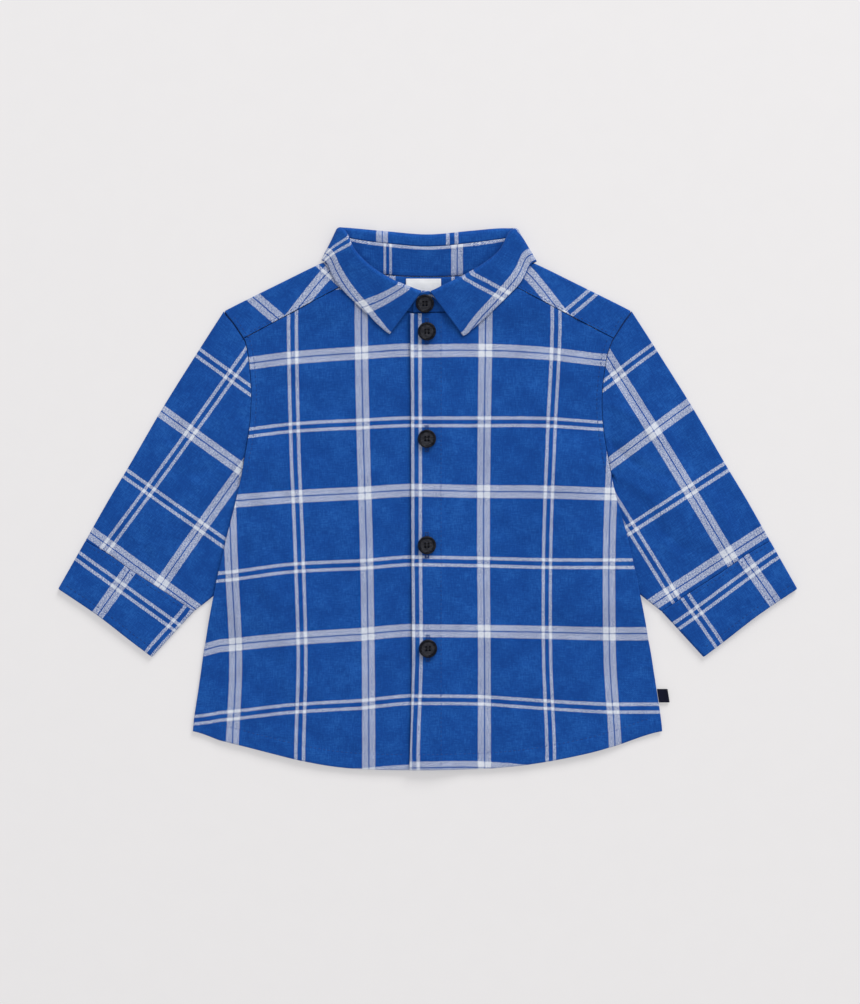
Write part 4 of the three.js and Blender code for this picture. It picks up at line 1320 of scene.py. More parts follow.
@dataclass
class CollarStand(CollarPiece):
    """The band round the neck, with its buttoned extension."""

    stripes: Table = Table(
        "station number", (
            (0, -1.6), (9.6, 0.72), (10.02, 1), (10.3, 1.2), (11.4, 1.8), (11.7, 2), (12.05, 2.23), (22, 4.72)
        )
    )
    height: float = 17.0
    line_below_top: float = -1.7
    closed: float = 0.02
    end_rise: float = 0.42

    def grid(self) -> ClothGrid:
        """Return the stand's grid."""
        stations = np.concatenate([[0, 0.012, 0.04], np.linspace(0.09, 21.91, 250), [21.96, 21.988, 22]])
        station, row = grid_shares(stations, edge_shares(self.height, 0.95))
        near_end = np.minimum(station, LAST_STATION - station)
        top = LAY.leaf_seam + self.closed + self.end_rise * ramp(near_end, 1.12, 0.95)
        middle = mix(self.foot(station), self.fold_point(station, -np.pi / 2), top * row)
        normal = self.normals(middle)
        height = row * self.height
        from_top = self.height - height
        relief = (SEWING.dip(height - 2.2) + SEWING.dip(from_top - 2.0)) * 0.7
        relief += SEWING.puckers(height - 1, station * self.station_length, 71) * 0.5
        thickness = rounded(self.cloth, near_end * self.station_length, height, from_top)
        below_top = self.line_below_top + 3.2 * ramp(near_end, 3, 1)
        weave = plan(self.stripes.straight(station), 1 + (from_top - below_top) / WEFT_SPACING)
        return ClothGrid(middle + normal * relief[..., None], normal, thickness, weave)


@dataclass
class CollarLeaf(CollarPiece):
    """The turned-down leaf: from the stand's top over the fold to its outer edge."""

    cloth: float = 1.25
    fall: float = 28.0
    past_seam: float = 0.024
    broad_from_edge: Table = Table(
        "station inset",
        (
            (1, -2.5),
            (3, 1.0),
            (4, 2.8),
            (5, 4.2),
            (8, 5.4),
            (9, 12),
            (13, 12),
            (15, 5.4),
            (17, 4.7),
            (18, 3.6),
            (19.5, 2.2),
            (21, -1.5),
        ),
    )

    def grid(self) -> ClothGrid:
        """Return the leaf's grid."""
        ends = np.array([0, 0.012, 0.04])
        stations = np.concatenate([LEAF_START + ends, np.linspace(1.09, 20.91, 250), LEAF_END - ends[::-1]])
        seam_share = LAY.leaf_seam + self.past_seam
        strip = np.array([0, 0.06, 0.2, 0.6])
        fold = np.linspace(1, 2, 11)[:-1]
        fall = np.append(2.0, 2 + edge_shares(self.fall, 1.15)[3:])
        station, row = grid_shares(stations, np.concatenate([strip, fold, fall]))
        share = seam_share + (1 - seam_share) * np.minimum(row, 1)
        on_strip = mix(self.foot(station), self.fold_point(station, -np.pi / 2), share)
        on_fold = self.fold_point(station, np.pi * (np.clip(row - 1, 0, 1) - 0.5))
        down = np.clip(row - 2, 0, 1)
        on_fall = mix(self.fold_point(station, np.pi / 2), self.leaf_edge(station), down)
        middle = np.where((row < 1)[..., None], on_strip, np.where((row <= 2)[..., None], on_fold, on_fall))
        normal = self.normals(middle)
        steps = np.linalg.norm(np.diff(middle, axis=1), axis=-1)
        from_edge = np.concatenate(
            [np.cumsum(steps[:, ::-1], axis=1)[:, ::-1], np.zeros((len(stations), 1))], axis=1
        )
        near_end = np.minimum(station - LEAF_START, LEAF_END - station) * self.station_length
        x, y = middle[..., 0], middle[..., 1]
        relief = SEWING.raised(from_edge - 2) * 0.5 + SEWING.dip(from_edge - 1.8) * 0.3
        relief = relief * ramp(row, 1.8, 2.2)
        relief += SEWING.dip(near_end - 1.8) * 0.3 * ramp(from_edge, 1, 3) * ramp(row, 1.9, 2.1)
        relief += (
            (0.22 * unevenness(x, y, 77, 22) * np.sin(np.pi * down))
            + SEWING.puckers(from_edge - 4, station * self.station_length, 79) * 0.6
        )
        relief *= ramp(np.abs(station - MIDDLE_BACK), 2.6, 4.4)
        thickness = rounded(self.cloth, near_end, from_edge, from_edge[:, :1] - from_edge)
        at_fold, at_edge = LEAF_FOLD_STRIPES.straight(station), LEAF_EDGE_STRIPES.straight(station)
        inset = self.broad_from_edge.straight(station)
        weave = plan(at_fold + (at_edge - at_fold) * down, (from_edge - inset) / WEFT_SPACING)
        return ClothGrid(middle + normal * relief[..., None], normal, thickness, weave)


@dataclass(frozen=True)
class SeamAllowance:
    """The cloth turned in along a seam, which closes it from inside."""

    reach: float = 2.0
    height: float = 1.17
    cloth: float = 0.08
    slope: float = 0.6
    end_gap: float = 0.6
    cuff_start: float = 0.01
    cuff_end: float = 0.985

    def close(self, side: Side, finish: Material) -> None:
        """Lay the strips along one armhole and one cuff.

        Args:
            side: the half of the shirt.
            finish: the cloth in the seams' shade.
        """
        heights = np.linspace(OUTLINE.column("y")[0] - self.end_gap, LAY.armpit_y + self.end_gap, 120)
        self.make("armhole" + side.suffix, LAY.outline_point(side.value, heights), finish)
        cuff_seam = CUFF_SEAM.along(np.linspace(self.cuff_start, self.cuff_end, 60), side.value)
        self.make("cuff" + side.suffix, cuff_seam, finish)

    def make(self, name: str, seam: Array, finish: Material) -> None:
        """Lay a strip along one seam.

        Args:
            name: the strip's name.
            seam: the seam's points, in plan.
            finish: the cloth in the seam's shade.
        """
        stations = len(seam)
        along = unit(np.gradient(seam, axis=0))
        across = np.stack([-along[:, 1], along[:, 0]], axis=-1)
        ends = np.minimum(*(np.linalg.norm(seam - seam[end], axis=-1) for end in (0, -1)))
        reach = np.minimum(self.reach, 0.4 + self.slope * ends)[:, None]
        corners = []
        for sign, rise in ((1, -1), (1, 1), (-1, 1), (-1, -1)):
            height = np.full((stations, 1), self.height + rise * self.cloth)
            corners.append(np.hstack([seam + across * reach * sign, height]))
        points = np.stack(corners, axis=1).reshape(-1, 3)
        first = np.arange(stations - 1)[:, None] * 4
        turn = np.arange(4)
        after = (turn + 1) % 4
        near, far = first + turn, first + after
        quads = np.stack([near, far, far + 4, near + 4], axis=-1).reshape(-1, 4)
        last = (stations - 1) * 4
        caps = np.array([[3, 2, 1, 0], [last, last + 1, last + 2, last + 3]])
        strip = mesh_object("seam_allowance_" + name, points, np.vstack([quads, caps]))
        dress(strip, finish)


@dataclass
class NeckLabel:
    """The bare label inside the back of the neck."""

    left: float = -13.9
    right: float = 8.5
    top: float = 140.4
    bottom: float = 127.5
    cloth: float = 0.5

    def make(self, finish: Material) -> None:
        """Build and dress the label.

        Args:
            finish: its ribbon.
        """
        width, length = self.right - self.left, self.top - self.bottom
        u, v = grid_shares(edge_shares(width, 0.6, 0.4), edge_shares(length, 0.6, 0.4))
        x, y = self.left + u * width, self.bottom + v * length
        fold = ramp(np.minimum(u, 1 - u) * width, 2.2, 1.6) * 0.12
        height = LAY.back_under(x, y) + LAY.cloth + LAY.seam + self.cloth / 2 + fold
        height += 0.12 * unevenness(x, y, 83, 14) + SEWING.dip((1 - v) * length - 1.2) * 0.4
        middle = np.dstack([x, y, height])
        thickness = rounded(self.cloth, u * width, (1 - u) * width, v * length, (1 - v) * length)
        normal = np.broadcast_to(UP, middle.shape)
        made = ClothGrid(middle, normal, thickness, plan(x, y)).build("label_ribbon")
        dress(made, finish, "neck_label")
        log.info("neck label: %.1f by %.1f mm", width, length)


@dataclass
class SideTag:
    """The bare ribbon folded into the right side seam."""

    top: float = -121.8
    bottom: float = -130.4
    reach: float = 6.8
    layer: float = 0.55
    air: float = 0.25
    lift: float = 0.7

    def make(self, finish: Material) -> None:
        """Build and dress the tag.

        Args:
            finish: its ribbon.
        """
        radius = (self.layer + self.air) / 2
        places = np.concatenate(
            [np.linspace(0, 1, 12), 1 + np.linspace(0, 1, 9)[1:], 2 + np.linspace(0, 1, 12)[1:]]
        )
        u, row = grid_shares(edge_shares(self.top - self.bottom, 0.5, 0.3), places)
        y = self.bottom + u * (self.top - self.bottom)
        start = LAY.outline_point(1, y)[..., 0] + LAY.seam
        run = self.reach - radius - self.layer / 2
        x = start + run * np.where(row < 1, row, np.where(row > 2, 3 - row, 1))
        turn = np.pi * (np.clip(row - 1, 0, 1) - 0.5)
        normal = np.dstack([np.cos(turn), np.zeros_like(turn), np.sin(turn)])
        middle = np.dstack([x, y, np.full(x.shape, self.lift + self.layer / 2 + radius)]) + normal * radius
        width = self.top - self.bottom
        thickness = rounded(self.layer, u * width, (1 - u) * width)
        made = ClothGrid(middle, normal, thickness, plan(x + row, y)).build("tag_ribbon")
        dress(made, finish, "side_tag")
        log.info("side tag: %.1f by %.1f mm", self.reach, width)


class ClothTop:
    """The shirt's outer surfaces, for laying thread on them."""

    def __init__(self, cloths: list[Piece]) -> None:
        """Gather the cloth's faces.

        Args:
            cloths: the pieces that thread can lie on.
        """
        points, faces = [], []
        for cloth in cloths:
            first = len(points)
            points += [vertex.co.copy() for vertex in cloth.data.vertices]
            faces += [[first + number for number in face.vertices] for face in cloth.data.polygons]
        self.tree = BVHTree.FromPolygons(points, faces)

    def lay(self, plans: Array, above: bool = True) -> tuple[Array, Array]:
        """Drop plan points on the cloth.

        Args:
            plans: the points, in millimetres.
            above: whether to come from above, not from under the shirt.

        Returns:
            The points on the cloth and the way that it looks there.
        """
        start, way = (0.05, Vector((0, 0, -1))) if above else (-0.02, Vector((0, 0, 1)))
        landed, facing = [], []
        for x, y in plans:
            hit, normal, *_ = self.tree.ray_cast(Vector((x * MM, y * MM, start)), way)
            landed.append(np.array(hit) / MM if hit else np.array([x, y, 0.5]))
            facing.append(np.array(normal) if hit else -np.array(way))
        facing = np.array(facing)
        return np.array(landed), facing * np.sign(-facing[:, 2:] * way.z)


def thread_object(name: str, ends: Array, ups: Array, radius: float, sink: float) -> Piece:
    """Make short stitches whose ends go into the cloth.

    Args:
        name: the piece's name.
        ends: the first and last point of each stitch.
        ups: the way that the cloth looks at each stitch.
        radius: half the thread's thickness.
        sink: how far the ends go into the cloth.

    Returns:
        The new object.
    """
    places = np.array([0.0, 0.1, 0.35, 0.65, 0.9, 1.0])
    sizes = np.array([0.15, 0.8, 1.0, 1.0, 0.8, 0.15]) * radius
    lifts = radius * 0.45 - (radius + sink) * np.abs(2 * places - 1) ** 4
    sides, count = 6, len(places)
    run = unit(ends[:, 1] - ends[:, 0])
    ups = unit(ups - run * (ups * run).sum(axis=-1, keepdims=True))
    beside = np.cross(run, ups)
    line = (
        ends[:, :1]
        + (ends[:, 1:] - ends[:, :1]) * places[None, :, None]
        + ups[:, None] * lifts[None, :, None]
    )
    angle = np.arange(sides) * 2 * np.pi / sides
    ring = (
        beside[:, None, :] * np.cos(angle)[None, :, None]
        + ups[:, None, :] * np.sin(angle)[None, :, None] * 0.8
    )
    points = line[:, :, None, :] + ring[:, None] * sizes[None, :, None, None]
    number = np.arange(len(ends) * count * sides).reshape(len(ends), count, sides)
    turned = np.roll(number, -1, axis=2)
    quads = np.stack([number[:, :-1], turned[:, :-1], turned[:, 1:], number[:, 1:]], axis=-1).reshape(-1, 4)
    return mesh_object(name, points.reshape(-1, 3), quads)


@dataclass
class StitchRow:
    """One row of stitches."""

    name: str
    path: Array
    above: bool = True


@dataclass
class Topstitching:
    """All the rows of stitches that show."""

    pitch: float = 2.9
    stitch: float = 2.05
    radius: float = 0.19
    sink: float = 0.14
    sunk_below: float = 0.17
    armhole_inset: float = 3.2
    yoke_inset: float = 1.7

    def _rows(self) -> list[StitchRow]:
        """Return the rows' paths."""
        rows = []
        across = np.linspace(-143, 143, 200)
        hem = LAY.hem_point(across, SEWING.hem_depth)
        rows.append(StitchRow("hem_left", hem[across < -13.5]))
        rows.append(StitchRow("hem_right", hem[across > -10.2]))
        rows.append(StitchRow("hem_back", hem, above=False))
        up = np.linspace(-170, 114, 200)
        rows.append(StitchRow("front_facing", plan(LAY.facing_edge, up)))
        for side in Side:
            down = np.linspace(116, 16, 90)
            armhole = LAY.outline_point(side.value, down) - [side.value * self.armhole_inset, 0]
            rows.append(StitchRow("armhole" + side.suffix, armhole))
            corner = LAY.neck_point(LEFT_YOKE_CORNER if side is Side.LEFT else RIGHT_YOKE_CORNER)
            start = LAY.outline_point(side.value, LAY.front_yoke_y)
            line = mix(start, corner, np.linspace(0.06, 0.93, 60)) + [0, self.yoke_inset]
            rows.append(StitchRow("yoke_front" + side.suffix, line))
            rows += self._cuff_rows(side)
        seam = np.linspace(-108, 108, 120)
        rows.append(StitchRow("yoke_back", plan(seam, LAY.back_yoke_y + 1.7), above=False))
        return rows

    def _cuff_rows(self, side: Side) -> list[StitchRow]:
        """Return the rows round the ends of a cuff."""
        share = np.linspace(0.05, 0.93, 60)
        seam, end = CUFF_SEAM.along(share, side.value), CUFF_END.along(share, side.value)
        way = unit(end - seam)
        near = seam + way * 2.2
        far = end - way * 4.5
        return [StitchRow("cuff_seam" + side.suffix, near), StitchRow("cuff_end" + side.suffix, far)]

    def _stitches(self, row: StitchRow, top: ClothTop) -> tuple[Array, Array]:
        """Cut a row into stitches that lie on the cloth.

        Args:
            row: the row.
            top: the cloth.

        Returns:
            The stitches' ends and the way that the cloth looks at them.
        """
        steps = np.linalg.norm(np.diff(row.path, axis=0), axis=1)
        length = np.concatenate([[0], np.cumsum(steps)])
        starts = np.arange(0, length[-1] - self.stitch, self.pitch)
        places = np.stack([starts, starts + self.stitch], axis=1).ravel()
        plans = plan(np.interp(places, length, row.path[:, 0]), np.interp(places, length, row.path[:, 1]))
        landed, facing = top.lay(plans, row.above)
        if not row.above:
            landed[:, 2] += self.sunk_below
        return landed.reshape(-1, 2, 3), facing[::2]

    def make(self, top: ClothTop, finish: Material) -> None:
        """Sew all the rows.

        Args:
            top: the cloth to sew on.
            finish: the thread.
        """
        rows = self._rows()
        for row in rows:
            ends, ups = self._stitches(row, top)
            thread = thread_object("stitches_" + row.name, ends, ups, self.radius, self.sink)
            dress(thread, finish)
        log.info("topstitching: %d rows", len(rows))


@dataclass(frozen=True)
class ButtonPlace:
    """Where a button is sewn on."""

    node: str
    x: float
    y: float
    height: float | None = None
    tilt: float = 0.0

    def matrix(self, radius: float) -> Matrix:
        """Return the button's place in metres, on the cloth and with its slope.

        Args:
            radius: half the button's diameter.

        Returns:
            The place as a matrix.
        """
        height, tilt = self.height, self.tilt
        if height is None:
            spots = np.array([self.y - radius, self.y, self.y + radius])
            x = np.full(3, self.x)
            low, middle, high = LAY.right_front_under(x, spots) + LAY.right_front_cloth(x)
            tilt = math.atan((high - low) / (2 * radius))
            height = max(middle, (low + high) / 2) + LAY.seam
        spot = Vector((self.x * MM, self.y * MM, height * MM))
        return Matrix.Translation(spot) @ Matrix.Rotation(tilt, 4, "X")


@dataclass
class Buttons:
    """Five moulded buttons with a raised rim, four holes and their thread."""

    diameter: float = 11.7
    thickness: float = 2.5
    rim: float = 1.5
    dish: float = 0.6
    dish_edge: float = 0.3
    thread: float = 0.13
    hole: float = 1.5
    hole_spacing: float = 2.05
    bundle_depth: float = 0.7
    segments: int = 72
    places: tuple[ButtonPlace, ...] = (
        ButtonPlace("button_1", -1.8, 124.4, 8.15, 0.19),
        ButtonPlace("button_2", -0.5, 106.6),
        ButtonPlace("button_3", -0.5, 38.1),
        ButtonPlace("button_4", -0.5, -29.8),
        ButtonPlace("button_5", 0.2, -95.7),
    )

    def _profile(self) -> list[tuple[float, float]]:
        """Return the button's cross-section from its middle out and back."""
        radius, top, floor = self.diameter / 2, self.thickness, self.thickness - self.dish
        outer = [
            (radius - 0.5 + 0.5 * math.cos(a), 0.5 - 0.5 * math.sin(a)) for a in np.linspace(np.pi / 2, 0, 5)
        ]
        crown = [
            (radius - self.rim / 2 + self.rim / 2 * math.cos(a), top - 0.75 + 0.75 * math.sin(a))
            for a in np.linspace(0.1, np.pi * 0.94, 12)
        ]
        inner = radius - self.rim
        dish = [(inner - 0.15, floor + 0.2), (inner - 0.45, floor + 0.05), (inner - 0.9, floor)]
        return [
            (0.0, 0.0), *outer, *crown, *dish, (2.9, floor - 0.02), (1.2, floor - 0.12), (0.0, floor - 0.14)
        ]

    @staticmethod
    def _blank(name: str, points: list[tuple[float, ...]], faces: list[tuple[int, ...]]) -> Piece:
        """Make one of the solids that a button is cut from.

        Args:
            name: its name.
            points: its corners, in millimetres.
            faces: the corners' numbers.

        Returns:
            The new object.
        """
        mesh = bpy.data.meshes.new(name)
        mesh.from_pydata([tuple(c * MM for c in point) for point in points], [], faces)
        blank = bpy.data.objects.new(name, mesh)
        bpy.context.scene.collection.objects.link(blank)
        return blank

    def _disc(self) -> Piece:
        """Turn the cross-section round the middle."""
        profile = self._profile()
        angle = np.arange(self.segments) * 2 * np.pi / self.segments
        points = [(0.0, 0.0, profile[0][1]), (0.0, 0.0, profile[-1][1])]
        rings = profile[1:-1]
        points += [(r * math.cos(a), r * math.sin(a), z) for r, z in rings for a in angle]
        faces = []
        for step in range(self.segments):
            turned = (step + 1) % self.segments
            faces.append((0, 2 + turned, 2 + step))
            last = 2 + (len(rings) - 1) * self.segments
            faces.append((1, last + step, last + turned))
            for ring in range(len(rings) - 1):
                low, high = 2 + ring * self.segments, 2 + (ring + 1) * self.segments
                faces.append((low + step, low + turned, high + turned, high + step))
        return self._blank("button_disc", points, faces)

    def _drills(self) -> Piece:
        """Return four round bars, where the holes go."""
        sides, half = 28, self.hole_spacing / 2 * math.sqrt(2)
        points, faces = [], []
        for quarter in range(4):
            centre = (math.pi / 4 + quarter * math.pi / 2, half)
            middle = (centre[1] * math.cos(centre[0]), centre[1] * math.sin(centre[0]))
            first = len(points)
            for z in (-2.0, 5.0):
                for step in range(sides):
                    a = 2 * math.pi * step / sides
                    x, y = (middle[k] + self.hole / 2 * (math.cos, math.sin)[k](a) for k in (0, 1))
                    points.append((x, y, z))
            faces.append(tuple(first + step for step in reversed(range(sides))))
            faces.append(tuple(first + sides + step for step in range(sides)))
            for step in range(sides):
                turned = (step + 1) % sides
                faces.append((first + step, first + turned, first + sides + turned, first + sides + step))
        return self._blank("button_drills", points, faces)

    def _drilled(self) -> bpy.types.Mesh:
        """Return the finished disc with its holes."""
        disc, drills = self._disc(), self._drills()
        cut = disc.modifiers.new("holes", "BOOLEAN")
        cut.operation, cut.solver, cut.object = "DIFFERENCE", "EXACT", drills
        evaluated = disc.evaluated_get(bpy.context.evaluated_depsgraph_get())
        mesh = bpy.data.meshes.new_from_object(evaluated)
        for blank in (disc, drills):
            bpy.data.objects.remove(blank, do_unlink=True)
        mesh.shade_smooth()
        mesh.set_sharp_from_angle(angle=math.radians(38))
        return mesh

    def make(self, dish: Material, rim: Material, thread: Material) -> None:
        """Mould the buttons and sew them on.

        Args:
            dish: the plastic in the middle.
            rim: the darker plastic of the rim.
            thread: what they are sewn on with; its nearly black colour also paints the shade inside the
                holes.
        """
        mesh = self._drilled()
        mesh.materials.clear()
        mesh.materials.append(dish)
        mesh.materials.append(rim)
        inner = (self.diameter / 2 - self.rim - self.dish_edge) * MM
        for face in mesh.polygons:
            face.material_index = int(face.center.xy.length > inner)
        for number, place in enumerate(self.places, start=1):
            button = bpy.data.objects.new(f"moulded_{place.node}", mesh.copy())
            bpy.context.scene.collection.objects.link(button)
            matrix = place.matrix(self.diameter / 2)
            button.data.transform(matrix)
            dress(button, dish, place.node)
            self._sew(number, matrix, thread)
        log.info("buttons: %d of %.1f mm", len(self.places), self.diameter)

    def _sew(self, number: int, matrix: Matrix, thread: Material) -> None:
        """Lay two strands through each pair of holes, and their bundle down in each hole, which nearly fills
        it with dark thread as painted shade.

        Args:
            number: the button's number.
            matrix: its place.
            thread: the strands' finish.
        """
        half, floor = self.hole_spacing / 2, self.thickness - self.dish + 0.02
        ends = [
            [(side * half + shift, half + 0.35, floor), (side * half + shift, -half - 0.35, floor)]
            for side in (-1, 1)
            for shift in (-0.2, 0.2)
        ]
        # Each bundle nearly fills its hole, and its dark thread stands in for the shade down in the hole.
        bundles = [
            [(x * half, y * half + end * self.hole * 0.3, self.bundle_depth) for end in (-1, 1)]
            for x in (-1, 1)
            for y in (-1, 1)
        ]
        up = np.array(matrix.to_3x3() @ Vector((0, 0, 1)))
        for name, pairs, radius, sink in (
            (f"button_thread_{number}", ends, self.thread, 0.6),
            (f"button_bundle_{number}", bundles, self.hole * 0.46, 0.1),
        ):
            placed = [[matrix @ (Vector(point) * MM) / MM for point in pair] for pair in pairs]
            strands = thread_object(name, np.array(placed), np.tile(up, (4, 1)), radius, sink)
            dress(strands, thread)


@dataclass
class Buttonholes:
    """Upright buttonholes whose ends show beyond the buttons."""

    length: float = 15.4
    gap: float = 0.25
    bar: float = 1.15
    pitch: float = 0.5
    radius: float = 0.24

    def make(self, places: tuple[ButtonPlace, ...], top: ClothTop, finish: Material) -> None:
        """Sew a buttonhole under each button.

        Args:
            places: the buttons.
            top: the cloth.
            finish: the thread.
        """
        steps = np.arange(-self.length / 2, self.length / 2 + 0.01, self.pitch)
        for number, place in enumerate(places, start=1):
            segments = []
            for side in (-1, 1):
                near, far = place.x + side * self.gap, place.x + side * (self.gap + self.bar)
                segments += [[(near, place.y + step), (far, place.y + step + 0.06)] for step in steps]
            for end in (-1, 1):
                row = np.arange(-1.2, 1.21, 0.45)
                y = place.y + end * self.length / 2
                segments += [[(place.x + x, y), (place.x + x, y + end * 0.9)] for x in row]
            landed, facing = top.lay(np.array(segments).reshape(-1, 2))
            sewn = thread_object(
                f"buttonhole_{number}", landed.reshape(-1, 2, 3), facing[::2], self.radius, 0.12
            )
            dress(sewn, finish)
        log.info("buttonholes: %d", len(places))


class NodeBench:
    """A new material and short ways to wire its nodes."""

    def __init__(self, name: str) -> None:
        """Start an empty material.

        Args:
            name: the material's name.
        """
        self.material = bpy.data.materials.new(name)
        self.material.use_nodes = True
        self.tree = self.material.node_tree
        self.tree.nodes.clear()
        self.output = self.tree.nodes.new("ShaderNodeOutputMaterial")

    def _feed(self, socket: Socket, value: object) -> None:
        """Link or set one input."""
        if isinstance(value, Socket):
            self.tree.links.new(value, socket)
        elif value is not None:
            socket.default_value = value

    def math(self, operation: str, *values: object, clamp: bool = False) -> Socket:
        """Add a Math node.

        Args:
            operation: what it does.
            values: its inputs.
            clamp: whether to keep the result from 0 to 1.

        Returns:
            Its result.
        """
        node = self.tree.nodes.new("ShaderNodeMath")
        node.operation, node.use_clamp = operation, clamp
        for socket, value in zip(node.inputs, values):
            self._feed(socket, value)
        return node.outputs[0]

    def step(
        self, value: object, start: float, end: float, low: float = 0.0, high: float = 1.0
    ) -> Socket:
        """Add a smooth step.

        Args:
            value: what it reads.
            start: where the step starts.
            end: where it ends.
            low: the result before it.
            high: the result after it.

        Returns:
            Its result.
        """
        node = self.tree.nodes.new("ShaderNodeMapRange")
        node.interpolation_type = "SMOOTHSTEP"
        for socket, item in zip(node.inputs, (value, start, end, low, high)):
            self._feed(socket, item)
        return node.outputs[0]

    def blend(self, share: object, first: object, second: object, kind: str = "MIX") -> Socket:
        """Mix two colours.

        Args:
            share: how much of the second.
            first: the first colour.
            second: the second colour.
            kind: how they mix.

        Returns:
            The mixed colour.
        """
        node = self.tree.nodes.new("ShaderNodeMix")
        node.data_type, node.blend_type = "RGBA", kind
        for socket, value in ((node.inputs[0], share), (node.inputs[6], first), (node.inputs[7], second)):
            self._feed(socket, value)
        return node.outputs[2]

    def noise(
        self, vector: object, scale: float, detail: float = 2.0, rough: float = 0.5
    ) -> Socket:
        """Add soft noise.

        Args:
            vector: where it is read.
            scale: how fine it is.
            detail: how many finer layers it has.
            rough: how strong they are.

        Returns:
            Its value.
        """
        node = self.tree.nodes.new("ShaderNodeTexNoise")
        self._feed(node.inputs["Vector"], vector)
        for socket, value in (("Scale", scale), ("Detail", detail), ("Roughness", rough)):
            node.inputs[socket].default_value = value
        return node.outputs[0]

    def stretched(self, vector: object, scale: tuple[float, float, float]) -> Socket:
        """Return a vector that is scaled differently along each axis."""
        node = self.tree.nodes.new("ShaderNodeVectorMath")
        node.operation = "MULTIPLY"
        self._feed(node.inputs[0], vector)
        node.inputs[1].default_value = scale
        return node.outputs[0]

    def place(self) -> Socket:
        """Return the place on the object, in metres."""
        return self.tree.nodes.new("ShaderNodeTexCoord").outputs["Object"]

    def bump(
        self, height: object, depth: float, strength: float, under: object = None
    ) -> Socket:
        """Add relief.

        Args:
            height: the relief from 0 to 1.
            depth: its real depth, in metres.
            strength: how much of it shows.
            under: relief to lay it on.

        Returns:
            The normal.
        """
        node = self.tree.nodes.new("ShaderNodeBump")
        node.inputs["Distance"].default_value = depth
        node.inputs["Strength"].default_value = strength
        self._feed(node.inputs["Height"], height)
        self._feed(node.inputs["Normal"], under)
        return node.outputs[0]

    def surface(self, **sockets: object) -> Material:
        """Finish the material with one surface shader.

        Args:
            sockets: its inputs, with underscores for spaces.

        Returns:
            The material.
        """
        shader = self.tree.nodes.new("ShaderNodeBsdfPrincipled")
        for name, value in sockets.items():
            self._feed(shader.inputs[name.replace("_", " ")], value)
        self.tree.links.new(shader.outputs[0], self.output.inputs["Surface"])
        return self.material


Colour = tuple[float, float, float, float]


